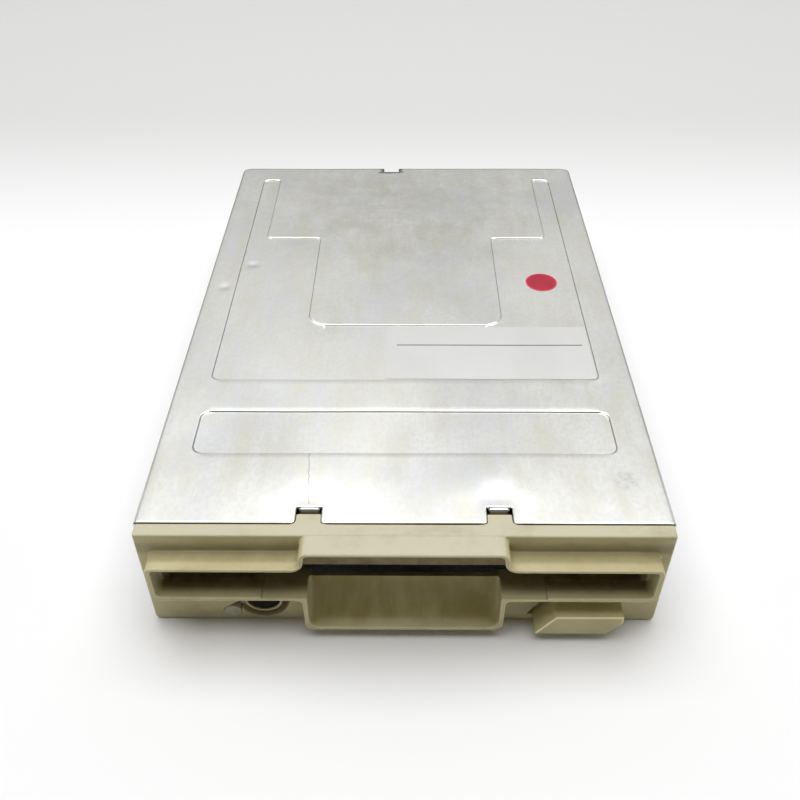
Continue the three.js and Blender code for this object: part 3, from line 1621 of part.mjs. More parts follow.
function makeBracket() {
  const foot = deckTop + fitGap;
  const footFront = bracketFront - bracketFootLength;
  const footLeft = screwOffset + stepperRadius / 2;
  const bracketLeft = screwOffset - stepperRadius;
  const bracketRight = screwOffset + bracketReach;
  const plate = outline([
    [bracketLeft, foot],
    [bracketRight, foot],
    [bracketRight, stepperTop, bracketSheet],
    [bracketLeft, stepperTop, bracketSheet],
  ]);
  let bracket = join(
    carry(plate, bracketFront, bracketRear),
    block(footLeft, bracketRight, footFront, bracketRear, foot, foot + bracketSheet),
  );
  const screwBack = footFront + bracketScrewInset;
  bracket = cut(bracket, rodZ(
    bracketRight - bracketScrewInset, screwBack, screwRadius + fitGap, foot - overrun,
    foot + bracketSheet + overrun, roundSides.pin,
  ));
  return cut(bracket, rodY(
    screwOffset, screwRise, bracketHole, bracketFront - overrun, bracketRear + overrun, roundSides.small,
  ));
}

function makeStepper() {
  const front = stepperFront;
  const body = rodY(screwOffset, screwRise, stepperRadius, front, front + stepperLength, roundSides.medium);
  const band = rodY(
    screwOffset, screwRise, stepperRadius + overrun, front + stepperFlange, front + stepperFlange * 2,
    roundSides.medium,
  );
  const notch = rodY(
    screwOffset, screwRise, stepperRadius - stepperFlange / 2, front + stepperFlange / 2,
    front + stepperFlange * 2 + overrun / 2, roundSides.medium,
  );
  const waist = cut(band, notch);
  return cut(body, waist, rodY(
    screwOffset, screwRise, stepperBore, front - overrun, front + stepperBoreDepth, roundSides.small,
  ));
}

function makeRods(side) {
  return rodY(side * rodOffset, rodRise, rodRadius, rodFront, rodRear, roundSides.small);
}

// A strap across both rods, channelled for them, with a screw hole beside each
function makeClamp(front) {
  const foot = deckTop + fitGap;
  const clear = rodRadius + rodPlay;
  const rear = front + clampLength;
  let clamp = bar(0, clampHalf * 2, front, rear, foot, clampTop);
  for (const side of [-1, 1]) {
    const channel = bar(
      side * rodOffset, clear * 2, front - overrun, rear + overrun, foot - overrun, rodRise + clear,
    );
    const hole = rodZ(
      side * clampScrewOffset, front + clampLength / 2, clampScrewRadius, foot - overrun, clampTop + overrun,
      roundSides.pin,
    );
    clamp = cut(clamp, channel, hole);
  }
  return clamp;
}

function makeTrackGate() {
  const foot = deckTop + fitGap;
  const flagInner = flagLeft - flagThick;
  const gateFront = bodyRear + gateGap;
  const rear = gateFront + gateLength;
  const outerPost = flagLeft + gatePlay;
  const innerPost = flagInner - gatePlay;
  return join(
    block(-outerPost - gatePost, -outerPost, gateFront, rear, foot, gateTop),
    block(-innerPost, -innerPost + gatePost, gateFront, rear, foot, gateTop),
    block(-outerPost - gatePost, -innerPost + gatePost, gateFront, rear, foot, foot + gateBase),
  );
}

function makeSwitch(offset) {
  const foot = deckTop + fitGap;
  const body = bar(offset, switchWidth, switchFront, switchFront + switchLength, foot, switchTop);
  const middle = switchFront + switchLength / 2;
  return cut(
    body,
    rodZ(offset, middle, plungerRadius + plungerPlay, foot - overrun, switchTop + overrun, roundSides.pin),
  );
}

function makePlunger(offset) {
  const middle = switchFront + switchLength / 2;
  return rodZ(offset, middle, plungerRadius, plungerTop - plungerLength, plungerTop, roundSides.pin);
}

function makeLamp() {
  const face = plateFront + lampRecess;
  const front = rodY(
    lampOffset, lampRise, lampRadius - lampDome, face - lampDome / 2, face + overrun, roundSides.small,
  );
  return front.add(rodY(lampOffset, lampRise, lampRadius, face, face + lampLength, roundSides.small));
}

function makeCollar() {
  const flange = rodY(
    lampOffset, lampRise, collarFlange, collarRear - collarFlangeThick, collarRear, roundSides.medium,
  );
  const tube = rodY(lampOffset, lampRise, collarOuter, plateFront, collarRear, roundSides.medium);
  const bore = rodY(
    lampOffset, lampRise, collarInner, plateFront - overrun, collarRear + overrun, roundSides.medium,
  );
  return cut(tube.add(flange), bore);
}

function makePip() {
  return rodY(pipOffset, pipRise, pipRadius, plateFront - pipDome, pipRear, roundSides.small);
}

piece('top_cover', makeCover(), looks.cover());
piece('front_bezel', makeBezel(), looks.bezel());
piece('lamp_collar', makeCollar(), looks.bezel());
piece('activity_lamp', makeLamp(), looks.lens());
piece('indicator_pip', makePip(), looks.pale());
piece('chassis', makeFrame(), looks.casting());
piece('spindle_bearing', makeBearing(), looks.brass());
piece('motor_board', makeMotorBoard(), looks.board());
piece('motor_coils', makeCoils(), looks.copper());
piece('index_sensor', bar(
  sensorOffset, sensorLength, motorBoardFront + overrun, motorBoardFront + overrun + sensorWidth,
  motorBoardBottom - fitGap - sensorThick, motorBoardBottom - fitGap,
), looks.black());
piece('main_board', makeMainBoard(), looks.board());
piece('controller_chip', makeChip(chipOffset, chipSize, chipSize), looks.black());
piece('driver_chip', makeChip(driverOffset, driverWidth, driverLength), looks.black());
piece('board_capacitor', makeCapacitor(), looks.blue());
piece('data_connector_shell', makeDataShell(), looks.black());
piece('data_connector_pins', makeDataPins(), looks.gold());
piece('power_connector_shell', makePowerShell(), looks.white());
piece('power_connector_pins', makePowerPins(), looks.steel());
piece('motor_ribbon_socket', makeRibbonSocket(0), looks.white());
piece('main_ribbon_socket', makeRibbonSocket(1), looks.white());
piece('motor_ribbon', makeRibbon(), looks.white());
piece('main_guide_rod', makeRods(-1), looks.shaft());
piece('side_guide_rod', makeRods(1), looks.shaft());
piece('front_rod_clamp', makeClamp(rodFront - fitGap), looks.steel());
piece('rear_rod_clamp', makeClamp(openingRear + fitGap), looks.steel());
piece('track_zero_sensor', makeTrackGate(), looks.black());
piece('stepper_bracket', makeBracket(), looks.steel());
piece('stepper_motor', makeStepper(), looks.steel());
piece('screw_pivot', makePivotPost(), looks.steel());
piece('write_protect_switch', makeSwitch(-switchOffset), looks.black());
piece('density_switch', makeSwitch(switchOffset), looks.black());
piece('disk_switch', makeSwitch(diskSwitchOffset), looks.black());

const slideBody = new THREE.Group();
drive.add(slideBody);
piece('slide_plate', makeSlide(), looks.steel(), slideBody);
piece('eject_button', makeButton(), looks.button(), slideBody);

const holderBody = new THREE.Group();
drive.add(holderBody);
piece('disk_holder', makeHolder(), looks.steel(), holderBody);
for (const [hand, side] of [['left', -1], ['right', 1]]) {
  piece(`front_roller_${hand}`, makeRoller(side, rollerFront), looks.shaft(), holderBody);
  piece(`rear_roller_${hand}`, makeRoller(side, rollerRear), looks.shaft(), holderBody);
}
piece('lever_rivet', makeRivet(), looks.shaft(), holderBody);
piece('lever_spring', makeTorsionSpring(), looks.steel(), holderBody);
piece('shutter_lever', makeLever(), looks.steel(), holderBody);
piece('holder_spring_left', makeHolderSpring(-1), looks.steel());
piece('holder_spring_right', makeHolderSpring(1), looks.steel());

const spindleBody = new THREE.Group();
drive.add(spindleBody);
piece('spindle_shaft', rodZ(0, spindleBack, shaftRadius, rotorBottom, shaftTop), looks.shaft(), spindleBody);
piece('spindle_hub', makeHub(), looks.steel(), spindleBody);
piece('drive_pin', rodZ(
  0, spindleBack - drivePinOffset, drivePinRadius,
  hubTop + fitGap, hubTop + fitGap + drivePinRise, roundSides.pin,
), looks.shaft(), spindleBody);
piece('rotor_cup', makeRotor(), looks.steel(), spindleBody);
piece('rotor_magnet', ring(
  0, spindleBack, magnetInner, magnetOuter, rotorBottom + rotorSheet + fitGap,
  rotorBottom + rotorSheet + fitGap + magnetThick, roundSides.large,
), looks.magnet(), spindleBody);

const carriageBody = new THREE.Group();
drive.add(carriageBody);
piece('head_carriage', makeCarriage(), looks.casting(), carriageBody);
piece('lower_head', makeLowerHead(), looks.white(), carriageBody);
piece('screw_follower', makeFollower(), looks.white(), carriageBody);
piece('arm_pin', rodX(
  armPivotBack, armPivotRise, armPinRadius, -towerHalf, towerHalf, roundSides.pin,
), looks.shaft(), carriageBody);

const armBody = new THREE.Group();
armBody.position.set(0, armPivotBack, armPivotRise);
armBody.rotation.x = -THREE.MathUtils.degToRad(armLiftDegrees);
carriageBody.add(armBody);
piece('upper_head_arm', makeArm(), looks.casting(), armBody);
piece('upper_head', makeUpperHead(), looks.white(), armBody);

piece('lead_screw', makeLeadScrew(), looks.shaft());
piece('write_protect_plunger', makePlunger(-switchOffset), looks.white());
piece('density_plunger', makePlunger(switchOffset), looks.white());
piece('disk_plunger', makePlunger(diskSwitchOffset), looks.white());

// The origin is the middle of the underside, between the button's front and the rear edge
drive.position.y = -(buttonFront + driveLength) / 2;

export default drive;
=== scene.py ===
# A 3.5 inch floppy disk drive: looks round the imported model. Sizes below are in millimetres.
import json
import math
import bpy
import numpy as np
from mathutils import Matrix, Vector


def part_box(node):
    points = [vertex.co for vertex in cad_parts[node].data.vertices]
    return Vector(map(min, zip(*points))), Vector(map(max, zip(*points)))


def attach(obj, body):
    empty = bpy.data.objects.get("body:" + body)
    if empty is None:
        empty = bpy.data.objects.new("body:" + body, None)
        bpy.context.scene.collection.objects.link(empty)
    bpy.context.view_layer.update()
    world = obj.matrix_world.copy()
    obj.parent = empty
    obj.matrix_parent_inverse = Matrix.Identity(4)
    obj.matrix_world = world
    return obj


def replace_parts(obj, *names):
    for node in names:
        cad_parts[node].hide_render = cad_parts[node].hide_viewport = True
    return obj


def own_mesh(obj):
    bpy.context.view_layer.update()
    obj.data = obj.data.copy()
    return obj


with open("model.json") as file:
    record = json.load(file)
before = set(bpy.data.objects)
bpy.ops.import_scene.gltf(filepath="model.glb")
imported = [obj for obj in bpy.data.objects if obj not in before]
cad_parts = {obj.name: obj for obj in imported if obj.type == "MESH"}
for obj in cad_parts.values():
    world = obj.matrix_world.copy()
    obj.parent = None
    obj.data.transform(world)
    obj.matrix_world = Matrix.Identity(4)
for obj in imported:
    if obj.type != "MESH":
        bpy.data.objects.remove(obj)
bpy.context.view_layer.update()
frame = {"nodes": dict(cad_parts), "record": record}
nodes = frame["nodes"]
slotOf = {part["node"]: part["material_slot"] for part in frame["record"]["subparts"]}
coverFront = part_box("top_cover")[0].y * 1000  # the cover's front edge is y = 0 in every table below
print("frame loaded:", len(nodes), "nodes, cover front at", round(coverFront, 2), "mm")


class Values:
    # a dictionary's values under their names, for shorter formulas

    def __init__(self, table):
        vars(self).update(table)


# Meshes

def addObject(name, data):
    # an object in the scene
    piece = bpy.data.objects.new(name, data)
    bpy.context.scene.collection.objects.link(piece)
    return piece


def addMesh(name, points, faces, body, look, smooth=True, normals=None):
    # points in mm from the cover's front edge; faces as an array of quads or triangles
    mesh = bpy.data.meshes.new(name)
    points = (np.asarray(points, float) + [0, coverFront, 0]) / 1000
    faces = np.asarray(faces, np.int32)
    sides = faces.shape[1]
    mesh.vertices.add(len(points))
    mesh.vertices.foreach_set("co", points.astype(np.float32).ravel())
    mesh.loops.add(faces.size)
    mesh.loops.foreach_set("vertex_index", faces.ravel())
    mesh.polygons.add(len(faces))
    mesh.polygons.foreach_set("loop_start", np.arange(0, faces.size, sides, dtype=np.int32))
    mesh.update(calc_edges=True)
    mesh.validate()
    mesh.polygons.foreach_set("use_smooth", np.full(len(mesh.polygons), smooth))
    if normals is not None:
        mesh.normals_split_custom_set_from_vertices(normals.tolist())
    piece = addObject(name, mesh)
    mesh.materials.append(looks[look])
    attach(piece, body)
    return piece


def listPoints(x, y, z):
    # grids of coordinates as one list of points
    return np.stack(np.broadcast_arrays(x, y, z), -1).reshape(-1, 3)


def gridFaces(rows, columns, closeRows=False, closeColumns=False):
    # quads between neighbouring points of a rows by columns grid
    i = np.arange(rows if closeRows else rows - 1)[:, None]
    j = np.arange(columns if closeColumns else columns - 1)[None, :]
    nextI, nextJ = (i + 1) % rows, (j + 1) % columns
    corners = [i * columns + j, nextI * columns + j, nextI * columns + nextJ, i * columns + nextJ]
    return np.stack(corners, -1).reshape(-1, 4)


def trianglesOf(quads):
    # each quad cut along one diagonal
    return np.concatenate([quads[:, [0, 1, 2]], quads[:, [0, 2, 3]]])


def tipFans(rings, steps):
    # triangles from a tube's first and last ring to the two points that follow its rings
    here = np.arange(steps)
    after, tip = (here + 1) % steps, 0 * here + rings * steps
    last = (rings - 1) * steps
    fans = (np.stack([after, here, tip], -1), np.stack([here + last, after + last, tip + 1], -1))
    return np.concatenate(fans)


def outward(points, faces):
    # turns a closed surface's faces outward: the volume they enclose has to come out positive
    a, b, c = (points[faces[:, k]] for k in range(3))
    volume = np.einsum("ij,ij->", a, np.cross(b, c))
    return faces if volume > 0 else faces[:, ::-1]


def joinMeshes(parts):
    # several (points, faces) pairs as one
    points, faces, count = [], [], 0
    for some, quads in parts:
        points.append(some)
        faces.append(np.asarray(quads) + count)
        count += len(some)
    return np.concatenate(points), np.concatenate(faces)


def turnedMesh(profile, centre, axis, steps):
    # Lathe: each (radius, height) of the profile goes round the axis at equal angles. A profile that starts
    # and ends on the axis gets one point at each end, any other is joined end to end. The outside runs up.
    profile = np.asarray(profile, float)
    tipped = profile[0, 0] == 0
    rings = profile[1:-1] if tipped else profile
    angle = np.arange(steps) / steps * 2 * math.pi
    radius, height = rings[:, :1], rings[:, 1:]
    points = listPoints(radius * np.cos(angle), radius * np.sin(angle), height)
    faces = trianglesOf(gridFaces(len(rings), steps, closeRows=not tipped, closeColumns=True)[:, ::-1])
    if tipped:
        points = np.concatenate([points, [[0, 0, profile[0, 1]], [0, 0, profile[-1, 1]]]])
        faces = np.concatenate([faces, tipFans(len(rings), steps)])
    order = {"z": [0, 1, 2], "y": [1, 2, 0]}[axis]
    return points[:, order] + centre, faces


# Distance fields, negative inside

def roundRect(u, v, lowU, highU, lowV, highV, radius):
    # distance to a rectangle whose corners have that radius
    midU, midV = (lowU + highU) / 2, (lowV + highV) / 2
    du = np.abs(u - midU) - (highU - lowU) / 2 + radius
    dv = np.abs(v - midV) - (highV - lowV) / 2 + radius
    return np.hypot(np.maximum(du, 0), np.maximum(dv, 0)) + np.minimum(np.maximum(du, dv), 0) - radius


def roundDepth(into, radius):
    # how far a quarter round falls at that distance into it
    return radius - np.sqrt(np.maximum(radius ** 2 - into ** 2, 0))


def between(u, low, high):
    # distance to the slab between two levels
    return np.maximum(low - u, u - high)


def meet(first, *others):
    # intersection: the largest of the distances
    for other in others:
        first = np.maximum(first, other)
    return first


def roundJoin(a, b, radius):
    # union with its inner corner filled by a round of that radius
    corner = np.hypot(np.maximum(radius - a, 0), np.maximum(radius - b, 0))
    return np.maximum(radius, np.minimum(a, b)) - corner


def roundMeet(a, b, radius):
    # intersection with its edge rounded by that radius
    return -roundJoin(-a, -b, radius)


def lines(start, *stretches):
    # grid lines from a start through (end, spacing) stretches, in order
    parts = []
    for end, step in stretches:
        parts.append(np.linspace(start, end, max(2, round((end - start) / step) + 1))[:-1])
        start = end
    return np.concatenate(parts + [[start]])


def netSurface(field, xs, ys, zs):
    # One vertex in each grid cell that the surface crosses, at the mean of the crossings on the cell's
    # edges, then moved along the gradient onto the surface; one quad round each crossed grid edge.
    gx, gy, gz = np.meshgrid(xs, ys, zs, indexing="ij", sparse=True)
    values = field(gx, gy, gz)
    inside = values < 0
    axes = (xs, ys, zs)
    cells = tuple(n - 1 for n in values.shape)
    total, count, quads = np.zeros(cells + (3,)), np.zeros(cells, np.int32), []
    for axis in range(3):
        low = [slice(None)] * 3
        high = [slice(None)] * 3
        low[axis], high[axis] = slice(0, -1), slice(1, None)
        a, b = values[tuple(low)], values[tuple(high)]
        spots = np.argwhere(inside[tuple(low)] != inside[tuple(high)])
        index = tuple(spots.T)
        share = a[index] / (a[index] - b[index])
        place = np.stack([axes[k][spots[:, k]] for k in range(3)], -1).astype(float)
        place[:, axis] += share * np.diff(axes[axis])[spots[:, axis]]
        ring = []
        for dp, dq in ((-1, -1), (0, -1), (0, 0), (-1, 0)):
            cell = spots.copy()
            cell[:, (axis + 1) % 3] += dp
            cell[:, (axis + 2) % 3] += dq
            ring.append(cell)
        good = np.all([np.all((c >= 0) & (c < cells), axis=1) for c in ring], axis=0)
        for cell in ring:
            spot = tuple(cell[good].T)
            np.add.at(total, spot, place[good])
            np.add.at(count, spot, 1)
        flat = np.stack([np.ravel_multi_index(tuple(c[good].T), cells) for c in ring], -1)
        turn = inside[tuple(low)][index][good]
        flat[~turn] = flat[~turn][:, ::-1]
        quads.append(flat)
    used, faces = np.unique(np.concatenate(quads), return_inverse=True)
    points = total.reshape(-1, 3)[used] / count.reshape(-1)[used][:, None]
    reach = 0.000001 + 0.4 * min(np.diff(axis).min() for axis in axes)
    for _ in range(4):
        slope = fieldSlope(field, points)
        size = np.maximum((slope ** 2).sum(1), 0.25)
        points = points - slope * np.clip(field(*points.T) / size, -reach, reach)[:, None]
    slope = fieldSlope(field, points)
    normals = slope / np.maximum(np.linalg.norm(slope, axis=1), 1e-9)[:, None]
    return points, faces.reshape(-1, 4), normals


def fieldSlope(field, points):
    # gradient by central differences
    step = 0.02
    shifts = np.eye(3) * step
    return np.stack([(field(*(points + s).T) - field(*(points - s).T)) / (2 * step) for s in shifts], -1)


# Node trees

class Shade:
    # A node tree with a short call for each kind of node. What a call gives back feeds the next one, and
    # feed() fills the end of the tree, which is the shader or a group's output.

    def __init__(self, tree, end):
        self.tree = tree
        self.end = end

    def put(self, socket, given):
        # links an output to the socket or sets its value; a colour gets its fourth number
        if isinstance(given, bpy.types.NodeSocket):
            self.tree.links.new(given, socket)
        else:
            socket.default_value = (*given, 1) if socket.type == "RGBA" else given

    def feed(self, label, given):
        self.put(self.end.inputs[label], given)

    def node(self, kind, inputs, output, **settings):
        node = self.tree.nodes.new("ShaderNode" + kind)
        for name, value in settings.items():
            setattr(node, name, value)
        for label, given in inputs.items():
            self.put(node.inputs[label], given)
        return node.outputs[output]

    def calc(self, operation, first, second=0.0):
        return self.node("Math", {0: first, 1: second}, 0, operation=operation)

    def plus(self, first, *others):
        for other in others:
            first = self.calc("ADD", first, other)
        return first

    def times(self, first, *others):
        for other in others:
            first = self.calc("MULTIPLY", first, other)
        return first

    def ramp(self, value, low, high, toLow=0.0, toHigh=1.0, kind="SMOOTHSTEP"):
        inputs = {"Value": value, "From Min": low, "From Max": high, "To Min": toLow, "To Max": toHigh}
        return self.node("MapRange", inputs, "Result", interpolation_type=kind)

    def mix(self, factor, first, second):
        return self.node("Mix", {0: factor, 6: first, 7: second}, 2, data_type="RGBA")

    def noise(self, vector, scale, detail=4.0, rough=0.55):
        inputs = {"Vector": vector, "Scale": scale, "Detail": detail, "Roughness": rough}
        return self.node("TexNoise", inputs, "Fac")

    def moved(self, vector, scale=(1, 1, 1), shift=(0, 0, 0)):
        return self.node("Mapping", {"Vector": vector, "Scale": scale, "Location": shift}, "Vector")

    def axes(self, vector):
        return self.node("SeparateXYZ", {0: vector}, "X").node.outputs

    def group(self, kind, vector, **values):
        return self.node("Group", {"Vector": vector, **values}, 0, node_tree=groups[kind]).node.outputs

    def bump(self, height, strength):
        inputs = {"Height": height, "Strength": strength, "Distance": 0.0002}
        self.feed("Normal", self.node("Bump", inputs, "Normal"))

    def grainBump(self, place, scale, strength):
        self.bump(self.group("grain", place, Scale=float(scale))["Height"], strength)


# Node groups that several materials share

def newGroup(name, inputs, outputs):
    # inputs as (label, kind, starting value), outputs as (label, kind)
    group = bpy.data.node_groups.new(name, "ShaderNodeTree")
    for label, kind, value in inputs:
        socket = group.interface.new_socket(name=label, in_out="INPUT", socket_type="NodeSocket" + kind)
        if value is not None:
            socket.default_value = value
    for label, kind in outputs:
        group.interface.new_socket(name=label, in_out="OUTPUT", socket_type="NodeSocket" + kind)
    given = group.nodes.new("NodeGroupInput").outputs
    return Shade(group, group.nodes.new("NodeGroupOutput")), given


def makeCloudGroup():
    # soft uneven tone between two colours, with a finer speckle over it
    t, given = newGroup(
        "uneven tone",
        [("Vector", "Vector", None), ("Scale", "Float", 60.0), ("Light", "Color", (0.8, 0.8, 0.8, 1)),
         ("Dark", "Color", (0.6, 0.6, 0.6, 1)), ("Speckle", "Float", 0.1)],
        [("Color", "Color"), ("Value", "Float")],
    )
    place, scale, speckle = given["Vector"], given["Scale"], given["Speckle"]
    tone = t.ramp(t.noise(place, scale, 5.0, 0.6), 0.32, 0.68)
    fine = t.noise(place, t.times(scale, 23.0), 3.0)
    grain = t.ramp(fine, 0.3, 0.7, t.times(speckle, -1.0), speckle)
    value = t.node("Clamp", {"Value": t.plus(tone, grain)}, 0)
    t.feed("Color", t.mix(value, given["Dark"], given["Light"]))
    t.feed("Value", value)
    return t.tree


def makeGrainGroup():
    # height of a fine moulded or cast grain
    t, given = newGroup("surface grain", [("Vector", "Vector", None), ("Scale", "Float", 2500.0)],
                        [("Height", "Float")])
    fine = t.noise(given["Vector"], given["Scale"], 2.0, 0.5)
    coarse = t.noise(given["Vector"], t.times(given["Scale"], 0.31), 2.0)
    t.feed("Height", t.plus(t.times(fine, 0.6), t.times(coarse, 0.4)))
    return t.tree


def makeBrushGroup():
    # fine lines along Y from noise stretched that way
    t, given = newGroup("brushed lines", [("Vector", "Vector", None)],
                        [("Height", "Float"), ("Value", "Float")])
    fine = t.noise(t.moved(given["Vector"], (2600, 60, 2600)), 1.0, 3.0)
    wide = t.noise(t.moved(given["Vector"], (420, 34, 420)), 1.0, 3.0)
    total = t.plus(t.times(fine, 0.6), t.times(wide, 0.4))
    t.feed("Height", total)
    t.feed("Value", t.ramp(total, 0.35, 0.65))
    return t.tree


def makeEdgeHighlightGroup():
    # mask for a painted highlight: 1 where the surface rounds from facing front to facing up, down or
    # sideways,
    # 0 on flat faces: y times the rest of the unit normal, which is largest halfway round
    t, given = newGroup("rubbed edges", [("Vector", "Vector", None)], [("Value", "Float")])
    front = t.calc("ABSOLUTE", t.axes(given["Vector"])["Y"])
    rest = t.calc("SQRT", t.calc("SUBTRACT", 1.0, t.times(front, front)))
    t.feed("Value", t.ramp(t.times(front, rest), 0.12, 0.42))
    return t.tree


groups = dict(cloud=makeCloudGroup(), grain=makeGrainGroup(), brush=makeBrushGroup(), edge=makeEdgeHighlightGroup())


# Materials, one for each finish

usual = dict(speckle=0.1, metallic=0.0, coat=0.0, specular=0.5)
# highlit and rub give a painted highlight on rounded edges
finishes = {
    "beige_plastic": dict(
        light=(0.545, 0.49, 0.29), dark=(0.47, 0.413, 0.225), spread=45, rough=(0.4, 0.55), grain=2600,
        bump=0.05, specular=0.25, rubbed=(0.70, 0.64, 0.40), rub=0.55),
    "button_plastic": dict(
        light=(0.50, 0.44, 0.235), dark=(0.43, 0.37, 0.18), spread=70, rough=(0.4, 0.55), grain=2600,
        bump=0.05, specular=0.25, rubbed=(0.95, 0.88, 0.6), rub=0.8),
    "dark_lens": dict(
        light=(0.003, 0.004, 0.0005), dark=(0.002, 0.002, 0.0002), spread=300, speckle=0.05,
        rough=(0.28, 0.36), grain=900, bump=0.02, specular=0.12),
    "pale_plastic": dict(
        light=(0.46, 0.475, 0.32), dark=(0.36, 0.37, 0.24), spread=600, rough=(0.35, 0.5), grain=1800,
        bump=0.05),
    "casting": dict(
        light=(0.56, 0.57, 0.575), dark=(0.42, 0.425, 0.43), spread=90, speckle=0.25, rough=(0.42, 0.62),
        grain=1500, bump=0.22, metallic=0.85),
    "bearing_brass": dict(
        light=(0.66, 0.50, 0.23), dark=(0.50, 0.36, 0.15), spread=180, speckle=0.15, rough=(0.25, 0.42),
        grain=1800, bump=0.06, metallic=1.0),
    "coil_copper": dict(
        light=(0.70, 0.30, 0.12), dark=(0.48, 0.17, 0.06), spread=400, speckle=0.25, rough=(0.28, 0.42),
        grain=3000, bump=0.2, metallic=0.8, coat=0.4),
    "black_plastic": dict(
        light=(0.022, 0.022, 0.024), dark=(0.012, 0.012, 0.013), spread=120, speckle=0.15, rough=(0.38, 0.6),
        grain=2600, bump=0.1),
    "capacitor_sleeve": dict(
        light=(0.03, 0.055, 0.14), dark=(0.02, 0.035, 0.10), spread=200, rough=(0.25, 0.4), grain=900,
        bump=0.04, coat=0.3),
    "gold_contacts": dict(
        light=(0.86, 0.62, 0.26), dark=(0.72, 0.49, 0.18), spread=300, rough=(0.18, 0.3), grain=2200,
        bump=0.04, metallic=1.0),
    "tinned_contacts": dict(
        light=(0.68, 0.68, 0.66), dark=(0.52, 0.52, 0.5), spread=300, speckle=0.15, rough=(0.25, 0.42),
        grain=2200, bump=0.05, metallic=1.0),
    "white_plastic": dict(
        light=(0.66, 0.64, 0.58), dark=(0.56, 0.53, 0.46), spread=110, rough=(0.42, 0.6), grain=2400,
        bump=0.06),
    "ground_steel": dict(
        light=(0.64, 0.645, 0.65), dark=(0.52, 0.525, 0.53), spread=260, rough=(0.16, 0.28), grain=3200,
        bump=0.03, metallic=1.0),
    "plated_steel": dict(
        light=(0.62, 0.62, 0.60), dark=(0.47, 0.47, 0.455), spread=55, speckle=0.15, rough=(0.28, 0.46),
        grain=1700, bump=0.06, metallic=1.0),
    "magnet": dict(
        light=(0.060, 0.058, 0.060), dark=(0.035, 0.034, 0.036), spread=200, speckle=0.3, rough=(0.5, 0.7),
        grain=2400, bump=0.18, metallic=0.3),
}


def startMaterial(name):
    # a material, its tree with the shader at its end, and the piece's own coordinates and normal
    material = bpy.data.materials.new(name)
    material.use_nodes = True
    tree = material.node_tree
    coords = tree.nodes.new("ShaderNodeTexCoord").outputs
    return material, Shade(tree, tree.nodes["Principled BSDF"]), coords["Object"], coords["Normal"]


def makeFinish(name, values, addShadeAndDirt=None):
    # an uneven tone, with a painted highlight on rounded front edges, its roughness from the same tone, and a
    # fine grain
    material, t, place, normal = startMaterial(name)
    v = Values({**usual, **values})
    cloud = t.group("cloud", place, Scale=float(v.spread), Light=v.light, Dark=v.dark, Speckle=v.speckle)
    color = cloud["Color"]
    # painted highlight: rounded edges paler
    if "rubbed" in values:
        color = t.mix(t.times(t.group("edge", normal)["Value"], v.rub), color, v.rubbed)
    if addShadeAndDirt:
        color = addShadeAndDirt(t, place, normal, color)
    t.feed("Base Color", color)
    t.feed("Roughness", t.ramp(cloud["Value"], 0.0, 1.0, v.rough[1], v.rough[0]))
    t.feed("Metallic", v.metallic)
    t.feed("Coat Weight", v.coat)
    t.feed("Specular IOR Level", v.specular)
    t.grainBump(place, v.grain, v.bump)
    return material


coverTones = dict(
    bright=(0.935, 0.935, 0.90), dull=(0.83, 0.83, 0.79), film=(0.80, 0.82, 0.845), filmShare=0.85,
    warm=(0.80, 0.785, 0.67), warmShare=0.75, brushed=(0.73, 0.73, 0.71), brushShare=0.24, mottle=0.38,
    stain=(0.53, 0.52, 0.41), stainShare=0.5, stainAt=(-2, 118), stainReach=(10, 54), stainEverywhere=0.14,
    mark=(0.36, 0.36, 0.35), foldDirt=0.6, tang=(0.42, 0.40, 0.35), tangShare=0.7, tangBelow=25.1,
    tangRear=5, tangAcross=30, smudgeAt=(43.7, 11.1), smudgeReach=3.2, smudgeShare=0.4,
    scratchFrom=(-19.3, 18.7), scratchTo=(-18.2, 4.7), scratchHalf=0.08, scratchWobble=0.12,
    scratchShare=0.75, smooth=0.29, rough=0.38, metallic=0.94, brushBump=0.05, height=25.7,
    # shift, scale, detail, roughness and share of each noise of the stain
    stainNoises=(((0.4, 0.1, 0), 55.0, 3.0, 0.6, 0.5), ((2.4, 1.1, 0), 210.0, 3.0, 0.6, 0.3),
                 ((3.1, 0.2, 0), 700.0, 4.0, 0.65, 0.2)),
)


def nearMask(t, place, spot, inner, outer):
    # 1 within the inner distance of a spot on the cover and 0 past the outer one
    middle = (spot[0] / 1000, (spot[1] + coverFront) / 1000, coverTones["height"] / 1000)
    away = t.node("VectorMath", {0: place, 1: middle}, "Value", operation="DISTANCE")
    return t.ramp(away, inner / 1000, outer / 1000, 1.0, 0.0)


